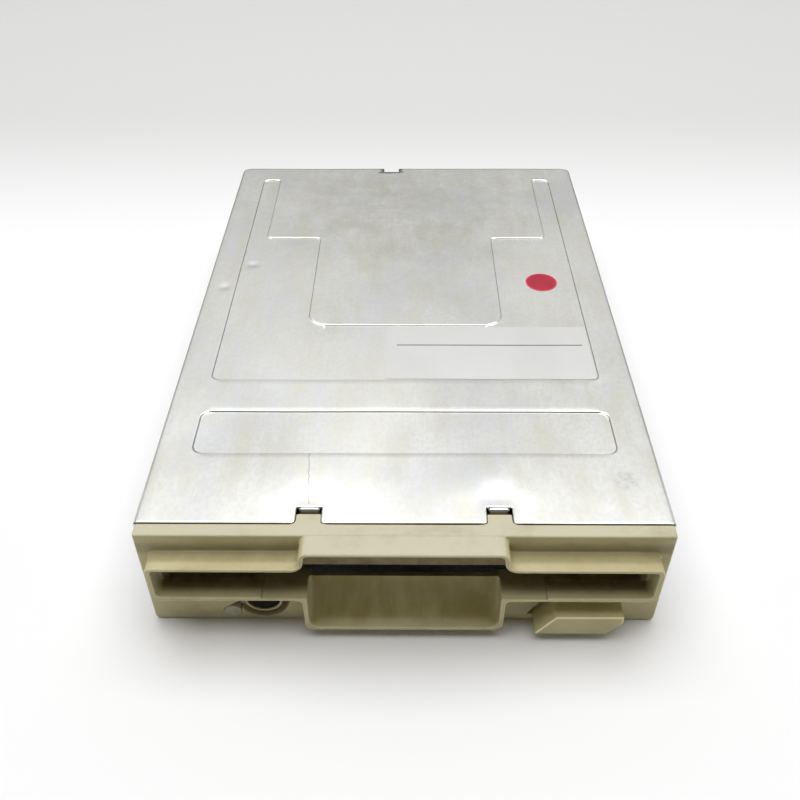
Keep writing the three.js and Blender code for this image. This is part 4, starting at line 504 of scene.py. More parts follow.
def makeCoverSheet():
    # plated sheet: broad dull clouds, a faint lilac film, soft olive-grey stain that is denser to the rear,
    # fine lines along Y, painted shade on the sloping faces, one scratch and one smudge
    material, t, place, normal = startMaterial("cover_sheet")
    c = Values(coverTones)
    clouds = t.ramp(t.noise(t.moved(place, (1.0, 0.8, 1.0)), 23.0, 3.0, 0.5), 0.34, 0.66)
    film = t.ramp(t.noise(t.moved(place, shift=(1.3, 0.7, 0)), 40.0), 0.43, 0.64, 0.0, c.filmShare)
    warm = t.noise(t.moved(place, (1.6, 0.6, 1.0), (0.2, 0.9, 0)), 120.0, 4.0, 0.6)
    brush = t.group("brush", place)
    mottle = t.ramp(t.noise(t.moved(place, (1.0, 0.7, 1.0)), 1300.0, 3.0, 0.6), 0.42, 0.62, 0.0, c.mottle)
    tone = t.mix(clouds, c.dull, c.bright)
    tone = t.mix(film, tone, c.film)
    tone = t.mix(t.ramp(warm, 0.4, 0.7, 0.0, c.warmShare), tone, c.warm)
    tone = t.mix(t.times(brush["Value"], c.brushShare), tone, c.brushed)
    tone = t.mix(mottle, tone, c.brushed)
    # painted shade on the sloping faces: the pressed walls and where the top turns over into a fold, none on
    # the flanges
    up = t.axes(normal)["Z"]
    slopeShaded = t.times(t.ramp(up, 0.7, 0.97, c.foldDirt, 0.0), t.calc("GREATER_THAN", up, 0.3))
    tone = t.mix(slopeShaded, tone, c.mark)
    patch = t.plus(*(t.times(t.noise(t.moved(place, shift=shift), scale, detail, rough), share)
                     for shift, scale, detail, rough, share in c.stainNoises))
    spread = nearMask(t, place, c.stainAt, *c.stainReach)
    dense = t.plus(t.times(spread, 1 - c.stainEverywhere), c.stainEverywhere)
    stains = t.times(t.ramp(patch, 0.4, 0.62, kind="LINEAR"), dense, c.stainShare)
    tone = t.mix(stains, tone, c.stain)
    # the tangs bent down inside the notches are darker
    apart = t.axes(place)
    x, y = apart["X"], apart["Y"]
    tang = t.times(t.calc("LESS_THAN", apart["Z"], c.tangBelow / 1000),
                   t.calc("LESS_THAN", y, (coverFront + c.tangRear) / 1000),
                   t.calc("LESS_THAN", t.calc("ABSOLUTE", x), c.tangAcross / 1000), c.tangShare)
    tone = t.mix(tang, tone, c.tang)
    # the scratch leans from one spot to the other and wavers a little
    (fromX, fromY), (toX, toY) = c.scratchFrom, c.scratchTo
    along = t.plus(t.times(y, 1000.0), -coverFront - fromY)
    middle = t.plus(t.times(along, (toX - fromX) / (toY - fromY)), fromX)
    wobble = t.ramp(t.noise(place, 900.0, 2.0), 0.2, 0.8, -c.scratchWobble, c.scratchWobble, "LINEAR")
    across = t.calc("ABSOLUTE", t.plus(t.calc("SUBTRACT", t.times(x, 1000.0), middle), wobble))
    onLine = t.ramp(across, c.scratchHalf * 0.6, c.scratchHalf * 1.5, 1.0, 0.0)
    scratch = t.times(onLine, t.calc("LESS_THAN", along, 0.0), t.calc("GREATER_THAN", along, toY - fromY),
                      c.scratchShare)
    dirt = t.ramp(t.noise(place, 620.0, 3.0), 0.35, 0.7, 0.0, c.smudgeShare)
    smudge = t.times(nearMask(t, place, c.smudgeAt, c.smudgeReach * 0.5, c.smudgeReach), dirt)
    t.feed("Base Color", t.mix(t.calc("MAXIMUM", smudge, scratch), tone, c.mark))
    t.feed("Roughness", t.ramp(clouds, 0.0, 1.0, c.rough, c.smooth))
    t.feed("Metallic", c.metallic)
    t.bump(brush["Height"], c.brushBump)
    return material


# The rule is given as left, right and level, the edges as left, right, front and rear
label = dict(
    film=(0.79, 0.79, 0.78), worn=(0.72, 0.72, 0.705), ink=(0.05, 0.05, 0.05), rule=(-1.9, 41.4, 55.1),
    ruleHalf=0.14, edges=(-4.3, 42.9, 42.6, 62.3), corner=0.9, thick=0.09, cells=(60, 34),
)
sticker = dict(
    middle=(0.42, 0.004, 0.03), worn=(0.33, 0.003, 0.022), rim=(0.75, 0.05, 0.11), at=(34.9, 82.0),
    radius=4.0, rimWidth=0.45, thick=0.09, cells=(24, 40),
)


def makeLabelFilm():
    # silvered film, bare but for one thin printed rule across its width
    material, t, place, normal = startMaterial("label_film")
    cloud = t.group("cloud", place, Scale=60.0, Light=label["film"], Dark=label["worn"], Speckle=0.05)
    apart = t.axes(place)
    left, right, level = label["rule"]
    off = t.calc("ABSOLUTE", t.plus(apart["Y"], -(level + coverFront) / 1000))
    side = t.calc("ABSOLUTE", t.plus(apart["X"], -(left + right) / 2000))
    line = t.times(t.ramp(off, label["ruleHalf"] / 1000, label["ruleHalf"] / 800, 1.0, 0.0),
                   t.calc("LESS_THAN", side, (right - left) / 2000))
    t.feed("Base Color", t.mix(line, cloud["Color"], label["ink"]))
    t.feed("Roughness", t.ramp(cloud["Value"], 0.0, 1.0, 0.42, 0.34))
    t.feed("Metallic", t.ramp(line, 0.0, 1.0, 0.75, 0.0))
    t.grainBump(place, 1500, 0.03)
    return material


def makeStickerPaper():
    # red paper, paler where its edge has faded
    material, t, place, normal = startMaterial("sticker_paper")
    s = Values(sticker)
    cloud = t.group("cloud", place, Scale=260.0, Light=s.middle, Dark=s.worn, Speckle=0.15)
    inside = nearMask(t, place, s.at, s.radius - s.rimWidth, s.radius - 0.1)
    t.feed("Base Color", t.mix(inside, s.rim, cloud["Color"]))
    t.feed("Roughness", t.ramp(cloud["Value"], 0.0, 1.0, 0.6, 0.45))
    t.grainBump(place, 2200, 0.08)
    return material


def makeCircuitBoard():
    # green lacquer over copper tracks: a track shows as a paler line with a raised edge
    material, t, place, normal = startMaterial("circuit_board")
    shifted = t.moved(place, shift=(0.0003, 0.0007, 0))
    bricks = {"Scale": 1.0, "Mortar Size": 0.07, "Mortar Smooth": 0.3, "Brick Width": 1.7, "Row Height": 0.6}
    tracks = [t.node("TexBrick", {**bricks, "Vector": t.moved(shifted, scale)}, "Fac")
              for scale in ((900, 80, 1), (80, 900, 1))]
    left = t.ramp(t.noise(place, 90.0, 1.0), 0.46, 0.5)
    lines = t.plus(t.times(tracks[0], left), t.times(tracks[1], t.calc("SUBTRACT", 1.0, left)))
    cloud = t.group("cloud", place, Scale=80.0, Light=(0.032, 0.105, 0.05), Dark=(0.022, 0.075, 0.036),
                    Speckle=0.1)
    t.feed("Base Color", t.mix(lines, cloud["Color"], (0.06, 0.19, 0.085)))
    t.feed("Roughness", 0.35)
    t.feed("Coat Weight", 0.3)
    t.bump(lines, 0.3)
    return material


# Bands are given as low, high and softness of their ends
# Painted shade in the slot, down the scoop and along the rim's top by the plate, a painted sheen on the faces
# that point up near the top, and soil at random
shadeSheenAndSoil = dict(
    color=(0.085, 0.05, 0.002), slotX=(-1.0, 46.6, 0.4), slotZ=(12.4, 20.6, 0.3), slotDeep=(-6.7, -3.4),
    slotShare=0.78, seamY=(-5.6, -2.6, 0.6), seamZ=(20.4, 23.2, 0.8), seamShare=0.32,
    scoopColor=(0.21, 0.16, 0.028), scoopX=(-1.0, 18.3, 0.6), scoopZ=(3.4, 12.6, 0.9),
    scoopDeep=(-7.2, -6.2), scoopShare=0.74, soil=(0.30, 0.24, 0.11), soilShare=0.34,
    bleached=(0.545, 0.515, 0.385), bleach=0.9, bleachZ=(23.5, 40, 0.5),
)


def bandMask(t, value, low, high, soft):
    # 1 between two levels and 0 outside them, with soft ends; levels in mm, value in metres
    rise = t.ramp(value, (low - soft) / 1000, (low + soft) / 1000)
    return t.times(rise, t.ramp(value, (high - soft) / 1000, (high + soft) / 1000, 1.0, 0.0))


def addShadeSheenAndSoil(t, place, normal, clean):
    # a painted sheen on faces that point up near the top, painted shade deep in the slot, down the scoop in
    # patchy streaks and along the rim's top by the plate, and soil spread at random
    apart = t.axes(place)
    x, z = t.calc("ABSOLUTE", apart["X"]), apart["Z"]
    y = t.plus(apart["Y"], -coverFront / 1000)
    g = Values(shadeSheenAndSoil)
    # painted shade: the slot darkens towards its rear, and the rim's top darkens where it meets the plate
    deep = t.ramp(y, g.slotDeep[0] / 1000, g.slotDeep[1] / 1000)
    slot = t.times(bandMask(t, z, *g.slotZ), bandMask(t, x, *g.slotX), deep, g.slotShare)
    seam = t.times(bandMask(t, z, *g.seamZ), t.times(bandMask(t, y, *g.seamY), g.seamShare))
    patchy = t.ramp(t.noise(place, 300.0), 0.3, 0.7, 0.8, 1.1, "LINEAR")
    deepShade = t.times(t.calc("MAXIMUM", slot, seam), patchy)
    smear = t.noise(t.moved(place, (1.0, 0.35, 0.3)), 240.0, 3.0)
    # painted shade down the scoop, patchy in streaks
    scoop = t.times(bandMask(t, z, *g.scoopZ), bandMask(t, x, *g.scoopX),
                    t.ramp(y, g.scoopDeep[0] / 1000, g.scoopDeep[1] / 1000, 0.25, 1.0),
                    t.ramp(smear, 0.3, 0.7, g.scoopShare * 0.84, g.scoopShare * 1.16))
    # painted sheen: faces that point up near the top are paler
    above = t.times(t.ramp(t.axes(normal)["Z"], 0.72, 0.98), g.bleach, bandMask(t, z, *g.bleachZ))
    soil = t.noise(t.moved(place, (0.7, 1.0, 1.3), (0.31, 0.0, 0.2)), 150.0, 5.0, 0.65)
    color = t.mix(above, clean, g.bleached)
    color = t.mix(t.ramp(soil, 0.48, 0.74, 0.0, g.soilShare), color, g.soil)
    color = t.mix(scoop, color, g.scoopColor)
    return t.mix(deepShade, color, g.color)


looks = {name: makeFinish(name, values) for name, values in finishes.items()}
# the bezel's moulding carries painted shade in its hollows, a painted sheen on top, and soil
looks["beige_moulding"] = makeFinish("beige_moulding", finishes["beige_plastic"], addShadeSheenAndSoil)
looks["cover_sheet"] = makeCoverSheet()
looks["circuit_board"] = makeCircuitBoard()
looks["label_film"] = makeLabelFilm()
looks["sticker_paper"] = makeStickerPaper()
for name, node in nodes.items():
    node.data.materials.clear()
    node.data.materials.append(looks[slotOf[name]])
print("materials:", len(looks))


# Top cover: the sheet follows its cross section from one flange over the top to the other, and its height
# follows the distance to the outlines of the pressed panels

cover = dict(
    half=50.8, length=146.2, top=25.8, sheet=0.6, bend=0.8, flange=14.6, corner=2.5, rollover=0.25,
    room=0.2,  # above the top, for what stands up from it
    # panels as low x, high x, low y, high y and corner radius
    wide=(-43.35, 43.35, 42.1, 138.9, 1.8), band=(-43.35, 43.35, 18.6, 31.5, 2.2),
    arms=(-38.3, 38.3, 104.2, 160, 1.4), stem=(-23.4, 23.4, 63.0, 160, 4.5), armJoin=1.4, armEdge=1.2,
    press=0.3, shallow=0.23, bandRear=36.0, wall=0.3, lip=0.015, lipOut=0.5, lipWide=0.35,
    notchAt=18.0, notchHalf=2.45, notchDepth=3.9, mouth=0.5, rearNotch=(-7.2, -2.7, 2.2),
    # bumps near each front notch as height, distance outward and back, and reach either way; the first is a
    # bulge, the second drawn down; the flare stands on both sides of the notch
    bumps=((0.13, -3.0, 11.5, 11.0, 6.5), (-0.18, 0.0, 6.2, 3.4, 3.2)), flare=(0.06, 5.4, 7.4, 2.4, 3.2),
    dents=((-40.4, 90.4, 1.5, 1.2), (-46.3, 79.4, 1.2, 1.5)), dentDepth=0.2, longWave=0.04, shortWave=0.02,
    clips=(39.47, 90.64, 131.58), clipHalf=3.3, clipLow=16.7, clipHigh=19.3, clipGrid=(2.8, 1.3, 1.6),
    sharpAngle=32,
    mouthReach=6.0, rearStart=140.0,  # rows in front of and behind these move to round the corners
    tangHalf=1.95, tangBend=0.6, tangFront=3.35, tangFoot=22.9, tangCrown=25.6, tangDrop=1.6, tangSteps=9,
    # lines across and along the top as (end, spacing), close together where an outline or a notch stands
    gridX=((13.5, 2.25), (15.55, 0.26), (18.9, 0.56), (20.45, 0.26), (23.25, 0.25), (23.55, 0.06),
           (25.2, 0.4), (36.6, 2.3), (38.15, 0.25), (38.45, 0.06), (39.9, 0.35), (41.2, 0.65), (43.2, 0.18),
           (43.5, 0.06), (45.0, 0.35), (48.2, 0.55), (50.0, 1.2)),
    gridY=((0.36, 0.09), (3.9, 0.4), (8.0, 0.5), (18.45, 1.3), (18.75, 0.06), (20.9, 0.18), (29.2, 1.8),
           (31.35, 0.18), (31.65, 0.06), (36.17, 1.6), (41.95, 1.4), (42.25, 0.06), (44.0, 0.18),
           (62.85, 2.2), (63.15, 0.06), (67.6, 0.25), (77.4, 2.0), (81.9, 0.5), (87.34, 1.3), (93.94, 0.55),
           (102.8, 1.8),
           (104.05, 0.25), (104.35, 0.06), (105.8, 0.25), (128.28, 2.2), (134.88, 1.1), (137.0, 0.9),
           (138.75, 0.18), (139.05, 0.06), (140.6, 0.4), (144.0, 1.0), (146.2, 0.37)),
)


def panelDistance(x, y):
    # the wide panel, less its two arms with their shoulders and its stem, and the band in front of it
    arms, stem = roundRect(x, y, *cover["arms"]), roundRect(x, y, *cover["stem"])
    spared = np.minimum(np.minimum(arms, stem), roundJoin(arms, stem, cover["armJoin"]))
    wide = roundMeet(roundRect(x, y, *cover["wide"]), -spared, cover["armEdge"])
    return np.minimum(wide, roundRect(x, y, *cover["band"]))


def bell(u, v, reachU, reachV):
    # a smooth bump, 1 at its middle
    return np.exp(-(u / reachU) ** 2 - (v / reachV) ** 2)


def coverHeight(x, y):
    # pressed panels: a step down that is rounded at its top and sharp at its foot, with a low lip above it
    c = Values(cover)
    distance = panelDistance(x, y)
    fall = np.clip(0.5 - distance / c.wall, 0, 1)
    height = -np.where(y < c.bandRear, c.press, c.shallow) * fall ** 2
    height += c.lip * np.exp(-((distance - c.lipOut) / c.lipWide) ** 2)
    # the sheet is drawn down a little behind each front notch, with a raised flare on either side
    for side in (-1, 1):
        away = side * x - c.notchAt
        for rise, out, back, reachX, reachY in c.bumps:
            height += rise * bell(away - out, y - back, reachX, reachY)
        rise, out, back, reachX, reachY = c.flare
        height += rise * bell(np.abs(away) - out, y - back, reachX, reachY)
    # two small dents and the gentle unevenness of a thin sheet
    for atX, atY, reachX, reachY in c.dents:
        height -= c.dentDepth * bell(x - atX, y - atY, reachX, reachY)
    height += (c.longWave * np.sin(x / 13.0 + 0.6) * np.sin(y / 17.0 + 0.4)
               + c.shortWave * np.sin(x / 6.1 - y / 9.0))
    return np.minimum(height, c.room)


def makeCoverPiece():
    # points at every crossing of the section's lines and the lines along Y; a modifier gives the thickness
    c = Values(cover)
    flat = c.half - c.bend
    xs = lines(0, *c.gridX)
    xs = np.concatenate([-xs[::-1], xs[1:]])
    clipTop, clipFoot = c.top - c.bend - c.clipHigh, c.top - c.bend - c.clipLow
    drops = lines(0, *zip((clipTop, clipFoot, c.flange - c.bend), c.clipGrid))[1:]
    arc = np.linspace(0, math.pi / 2, 7)[1:]
    edgeX = np.concatenate([flat + c.bend * np.sin(arc), c.half + 0 * drops])
    edgeDrop = np.concatenate([c.bend - c.bend * np.cos(arc), c.bend + drops])
    acrossX = np.concatenate([-edgeX[::-1], xs, edgeX])
    acrossDrop = np.concatenate([edgeDrop[::-1], 0 * xs, edgeDrop])
    ys = lines(0, *c.gridY)
    u = acrossX[:, None] + 0 * ys
    v = ys + 0 * u
    drop = acrossDrop[:, None] + 0 * v
    # rounded mouths of the front notches and rounded rear corners move the first and last rows only
    away = np.abs(np.abs(u) - c.notchAt) - c.notchHalf
    back = roundDepth(np.clip(c.mouth - away, 0, c.mouth) * (away > -0.01), c.mouth)
    v = np.where(v < c.mouthReach, back + v * (c.mouthReach - back) / c.mouthReach, v)
    cut = roundDepth(np.clip(np.abs(u) - (c.half - c.corner), 0, c.corner), c.corner)
    start = c.rearStart
    v = np.where(v > start, start + (v - start) * (c.length - cut - start) / (c.length - start), v)
    fade = np.clip((flat + 0.4 - np.abs(u)) / 3.0, 0, 1)
    z = c.top - drop + coverHeight(u, v) * fade
    z = z - roundDepth(np.clip(c.rollover - v, 0, c.rollover), c.rollover) * (drop < 0.2)
    points = listPoints(u, v, z)
    faces = gridFaces(len(acrossX), len(ys))
    x, y, h = points[faces].mean(1).T
    onTop = h > c.top - 1.0
    notch = onTop & (np.abs(np.abs(x) - c.notchAt) < c.notchHalf) & (y < c.notchDepth)
    low, high, deep = c.rearNotch
    notch |= onTop & (x > low) & (x < high) & (y > c.length - deep)
    window = (np.abs(x) > c.half - 0.1) & (h > c.clipLow) & (h < c.clipHigh)
    window &= np.any([np.abs(y - clip) < c.clipHalf for clip in c.clips], axis=0)
    parts = [(points, faces[~(notch | window)])]
    # tangs bent down at the rear of the front notches
    angle = np.linspace(0, math.pi / 2, 8)
    bendY = c.tangFront + c.tangBend - c.tangBend * np.sin(angle)
    bendZ = c.tangCrown - c.tangBend + c.tangBend * np.cos(angle)
    bendY = np.concatenate([[c.tangFront + c.tangBend + 0.3], bendY, [c.tangFront, c.tangFront]])
    bendZ = np.concatenate([[c.tangCrown], bendZ, [c.tangCrown - c.tangDrop, c.tangFoot]])
    for side in (-1, 1):
        across = side * c.notchAt + np.linspace(-c.tangHalf, c.tangHalf, c.tangSteps)
        tang = listPoints(across[:, None], bendY, bendZ)
        parts.append((tang, gridFaces(c.tangSteps, len(bendY))[:, ::-1]))
    piece = addMesh("cover_sheet_metal", *joinMeshes(parts), "frame", "cover_sheet")
    piece.data.set_sharp_from_angle(angle=math.radians(c.sharpAngle))
    solid = piece.modifiers.new("sheet thickness", "SOLIDIFY")
    solid.thickness = c.sheet / 1000
    solid.offset = -1
    return piece


coverPiece = makeCoverPiece()
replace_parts(coverPiece, "top_cover")
print("cover:", len(coverPiece.data.polygons), "faces")


# Label and sticker: thin patches that follow the sheet under them

def makePatch(name, look, left, right, front, rear, corner, thick, cells):
    # a rectangle whose rows draw in towards its corners by the round's depth there
    columns, rows = cells
    halfX, halfY = (right - left) / 2, (rear - front) / 2
    first = 0.02  # rows start and end this angle inside a half turn
    y = (front + rear) / 2 - halfY * (np.cos(np.linspace(first, math.pi - first, rows)) / math.cos(first))
    past = np.clip(np.abs(y - (front + rear) / 2) - (halfY - corner), 0, corner * 0.9999)
    u = (left + right) / 2 + np.linspace(-1, 1, columns)[:, None] * (halfX - roundDepth(past, corner))
    v = y + 0 * u
    sheet = cover["top"] + coverHeight(u, v)
    upper, lower = listPoints(u, v, sheet + thick), listPoints(u, v, sheet - 0.02)
    grid = gridFaces(columns, rows)
    index = np.arange(columns * rows).reshape(columns, rows)
    ring = np.concatenate([index[:-1, 0], index[-1, :-1], index[:0:-1, -1], index[0, :0:-1]])
    after = np.roll(ring, -1)
    count = len(upper)
    walls = np.stack([ring, ring + count, after + count, after], -1)[:, ::-1]
    faces = np.concatenate([grid, grid[:, ::-1] + count, walls])
    addMesh(name, np.concatenate([upper, lower]), faces, "frame", look, smooth=False)


(spotX, spotY), spotR = sticker["at"], sticker["radius"]
spotEdges = (spotX - spotR, spotX + spotR, spotY - spotR, spotY + spotR)
makePatch("label", "label_film", *label["edges"], label["corner"], label["thick"], label["cells"])
makePatch("round_sticker", "sticker_paper", *spotEdges, spotR, sticker["thick"], sticker["cells"])
print("label and sticker laid on")


# Bezel: one distance field for the plate, the rim round the slot, the hood, the scoop and every hole. Holes
# are x, z and radius. Pairs of corner radii are for the lower and the upper corners, parted at the height
# split.

bezel = dict(
    half=50.4, height=25.5, plateFront=-2.98, plateRear=-0.05, rimFront=-7.45, slotFloor=12.75, slotTop=20.3,
    slotHalf=47.15, rimHalf=48.2, rimTop=21.1, rimBottom=11.7, hoodHalf=18.5, hoodOuter=19.4, hoodUnder=24.7,
    split=16.5, rimCorners=(2.2, 1.6), slotCorners=(1.2, 0.8), hoodCorner=1.9, join=1.2, mouthJoin=2.6,
    plateCorner=1.0, plateEdge=0.42, rimEdge=0.32, topEdge=0.35, foot=0.3, mouthEdge=0.25, hollowEdge=0.27,
    lipBottom=2.5, lipTop=3.35, scoopDepth=5.75, scoopSides=(0.7, 1.5), scoopJoin=0.7,
    scoopFade=(1.0, 5.0), mouthSplit=16, floorHalf=30, sharp=0.01,
    # how far shapes that join or cut one another run past their common face
    over=1, overTop=3, overHood=4, overSlot=0.6, overRear=0.6, overFront=0.5,
    openHalf=45.6, openTop=17.1, stepHalf=27.1, step=0.25, pitHalf=18.2, pit=1.3, pitFront=-1.45,
    fineEdge=0.15, lampHole=(-28.0, 6.05, 5.2), lampCut=-32.2, pipHole=(-34.4, 2.3, 1.9), holeEdge=0.2,
    wedgeLow=3.2, wedgeHigh=5.9, wedgeTip=-36.3, wedgeLean=1.37, wedgeCosine=0.59, wedgeDeep=1.3,
    buttonPlay=0.4, slantPlay=0.9, buttonEdge=0.22,
    tabAt=18, tabHalf=2.36, tabRear=2.53, tabLow=22.5, tabJoin=0.9,
    hookIn=46.4, hookOut=47.6, hookRear=7.5, hookLow=1.2, hookHigh=4.8, noseIn=47.0, noseOut=48.75,
    noseFront=5.9, noseLean=0.72,
)


def roundHole(x, z, atX, atZ, radius):
    # distance to a round bar along Y
    return np.hypot(x - atX, z - atZ) - radius


def bezelField(x, y, z):
    # distance to the moulding: the plate joined with the rim, less the hollow, the openings and the holes,
    # with the tabs and hooks at its rear
    b = Values(bezel)
    ax = np.abs(x)
    isLow = z < b.split
    # the plate and the rim run past the top face, and are cut by it together
    plate = roundRect(x, z, -b.half, b.half, 0.0, b.height + b.overTop, b.plateCorner)
    plate = roundMeet(plate, b.plateFront - y, b.plateEdge)
    slot = roundRect(ax, z, -b.rimHalf, b.rimHalf, b.rimBottom, b.rimTop, np.where(isLow, *b.rimCorners))
    hood = roundRect(ax, z, -b.hoodOuter, b.hoodOuter, b.lipBottom, b.height, b.hoodCorner)
    rim = roundJoin(slot, hood, b.join)
    rim = roundMeet(rim, meet(b.rimFront - y, y - b.plateFront - b.over), b.rimEdge)
    solid = roundJoin(plate, rim, np.clip((b.height - 0.2 - z) * 0.5, 0.001, b.foot))
    solid = meet(roundMeet(solid, z - b.height, b.topEdge), y - b.plateRear)
    # hollow of the slot and hood down to the plate's face
    corners = np.where(isLow, *b.slotCorners)
    inner = roundRect(ax, z, -b.slotHalf, b.slotHalf, b.slotFloor, b.slotTop, corners)
    tall = roundRect(ax, z, -b.hoodHalf, b.hoodHalf, b.slotFloor - b.overHood, b.hoodUnder, b.join)
    mouth = roundJoin(inner, tall, np.where(z > b.mouthSplit, b.mouthJoin, b.join))
    mouth = np.where(ax < b.floorHalf, meet(mouth, b.slotFloor - z), mouth)
    hollow = roundMeet(mouth, y - b.plateFront, b.mouthEdge)
    # the scoop: a quarter ellipse from the lip up to the slot's floor, its sides rounder towards the bottom
    rise = b.slotFloor - b.lipTop
    ey, ez = (y - b.rimFront) / b.scoopDepth, (z - b.slotFloor) / rise
    k = np.hypot(ey, ez)
    slope = np.hypot(ey / b.scoopDepth, ez / rise) + 1e-6
    ellipse = np.where(y < b.rimFront, b.lipTop - z, k * (k - 1) / slope)
    fadeFrom, fadeOver = b.scoopFade
    side = b.scoopSides[0] + b.scoopSides[1] * np.clip((b.slotFloor - fadeFrom - z) / fadeOver, 0, 1)
    scoop = roundMeet(roundMeet(ellipse, ax - b.hoodHalf, side), z - b.slotFloor - b.overSlot, b.sharp)
    hollow = roundJoin(hollow, scoop, b.scoopJoin)
    solid = roundMeet(solid, -hollow, b.hollowEdge)
    # the disk's opening through the plate, a little deeper in the middle
    stepFloor = b.slotFloor - b.step
    floor = np.where(ax < b.stepHalf, stepFloor, b.slotFloor)
    opening = meet(ax - b.openHalf, between(z, floor, b.openTop), b.plateFront - b.overFront - y)
    solid = roundMeet(solid, -opening, b.mouthEdge)
    solid = meet(solid, -meet(ax - b.stepHalf, between(z, stepFloor, b.slotFloor + b.over)))
    pit = meet(ax - b.pitHalf, b.pitFront - y, between(z, b.slotFloor - b.pit, b.slotFloor + b.over))
    solid = roundMeet(solid, -pit, b.fineEdge)
    # holes for the lamp and the indicator, and the wedge-shaped recess beside them
    lampHole = meet(roundHole(x, z, *b.lampHole), b.lampCut - x)
    lean = ((x - b.wedgeTip) - (z - b.wedgeLow) * b.wedgeLean) * b.wedgeCosine
    wedge = meet(between(z, b.wedgeLow, b.wedgeHigh), x - b.lampHole[0], -lean,
                 y - b.plateFront - b.wedgeDeep)
    solid = roundMeet(solid, -np.minimum(lampHole, wedge), b.holeEdge)
    solid = roundMeet(solid, -roundHole(x, z, *b.pipHole), b.fineEdge)
    # the button's hole, its five edges set out by the button's play
    solid = roundMeet(solid, -buttonOutline(x, z, b.buttonPlay, b.slantPlay), b.buttonEdge)
    # tabs on top and snap hooks at the sides reach to the rear
    tab = meet(between(ax, b.tabAt - b.tabHalf, b.tabAt + b.tabHalf), y - b.tabRear)
    tab = roundJoin(y - b.plateRear, tab, b.tabJoin)
    tab = roundMeet(meet(tab, between(z, b.tabLow, b.height)), -y - b.overRear, b.sharp)
    hook = meet(between(ax, b.hookIn, b.hookOut), between(y, b.plateRear - b.overRear, b.hookRear))
    slanted = b.noseOut - np.maximum(y - b.noseFront, 0) * b.noseLean
    nose = meet(between(ax, b.noseIn, slanted), between(y, b.noseFront, b.hookRear))
    hook = meet(np.minimum(hook, nose), between(z, b.hookLow, b.hookHigh))
    return np.minimum(np.minimum(solid, tab), hook)


button = dict(
    left=25.5, right=42.5, bottom=2.25, top=7.55, slant=3.9, bevelRun=3.05, bevelRise=3.5,
    front=-8.0, rear=5.2, edge=0.33, socketX=(30.2, 37.8), socketZ=(3.9, 5.8), socketFront=1.5,
)


def buttonOutline(x, z, gap, slantGap):
    # distance to the five-sided outline, set out by gap and, on the leaning left side, by slantGap
    b = Values(button)
    left, right, bottom, top = b.left - slantGap, b.right + gap, b.bottom - gap, b.top + gap
    tall = top - bottom
    slanted = ((left - x) * tall + (z - bottom) * b.slant) / math.hypot(b.slant, tall)
    run, rise = b.bevelRun + gap, b.bevelRise + gap
    bevel = ((x - (right - run)) * rise - (z - bottom) * run) / math.hypot(run, rise)
    return meet(slanted, bevel, x - right, between(z, bottom, top))


def makeBezelPiece():
    # a net with closer lines at the hood's sides, the button's hole and the plate's face
    xs = lines(0, (15.2, 0.95), (21.0, 0.29), (24.0, 0.4), (43.5, 0.3), (50.4, 0.29))
    xs = np.concatenate([-xs[::-1], xs[1:]])
    ys = lines(-7.7, (-2.2, 0.24), (-0.02, 0.29), (2.7, 0.46), (5.7, 0.75), (7.8, 0.3))
    zs = lines(-0.25, (1.5, 0.25), (25.75, 0.29))
    points, faces, normals = netSurface(bezelField, xs, ys, zs)
    piece = addMesh("bezel_moulding", points, faces, "frame", "beige_moulding", normals=normals)
    return piece


bezelPiece = makeBezelPiece()
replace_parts(bezelPiece, "front_bezel")
print("bezel:", len(bezelPiece.data.polygons), "faces")


# Lamp, collar and indicator: turned about their own axes, heights along Y

lamp = dict(
    at=(-28.0, 6.1), lensRadius=3.34, lensFront=-2.72, lensRear=4.6, lensRise=0.28, collarInner=3.4,
    collarOuter=3.88, collarFront=-2.8, flange=4.8, flangeFront=5.4, flangeRear=6.6,
    pipAt=(-34.4, 2.3), pipRadius=1.86, pipFront=-3.2, pipRear=1.4, pipRise=0.35, pipFull=0.7,
)


def makeDome(at, radius, front, rear, rise, full, steps):
    # a rod with a domed face: the radius follows the sine to the power full, the face falls with the cosine
    quarter = np.linspace(0, math.pi / 2, 9)
    dome = [(radius * math.sin(a) ** full, front + rise * (1 - math.cos(a))) for a in quarter]
    return turnedMesh(dome + [(radius, rear), (0, rear)], (at[0], 0, at[1]), "y", steps)


def makeLampPieces():
    # the collar's profile is a half round lip, a straight tube and a flange at its rear
    p = Values(lamp)
    points, faces = makeDome(p.at, p.lensRadius, p.lensFront, p.lensRear, p.lensRise, 1, 64)
    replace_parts(addMesh("lamp_lens", points, faces, "frame", "dark_lens"), "activity_lamp")
    middle, half = (p.collarInner + p.collarOuter) / 2, (p.collarOuter - p.collarInner) / 2
    around = np.linspace(0, math.pi, 9)
    lip = [(middle - half * math.cos(a), p.collarFront + half * (1 - math.sin(a))) for a in around]
    tube = lip + [(p.collarOuter, p.flangeFront), (p.flange, p.flangeFront), (p.flange, p.flangeRear),
                  (p.collarInner, p.flangeRear)]
    points, faces = turnedMesh(tube, (p.at[0], 0, p.at[1]), "y", 64)
    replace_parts(addMesh("lamp_ring", points, faces, "frame", slotOf["lamp_collar"]), "lamp_collar")
    points, faces = makeDome(p.pipAt, p.pipRadius, p.pipFront, p.pipRear, p.pipRise, p.pipFull, 48)
    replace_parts(addMesh("indicator_dome", points, faces, "frame", slotOf["indicator_pip"]), "indicator_pip")


makeLampPieces()
print("lamp, collar and indicator made")


# Eject button: a five-sided bar with a rounded face and a socket for the slide's stem at its rear

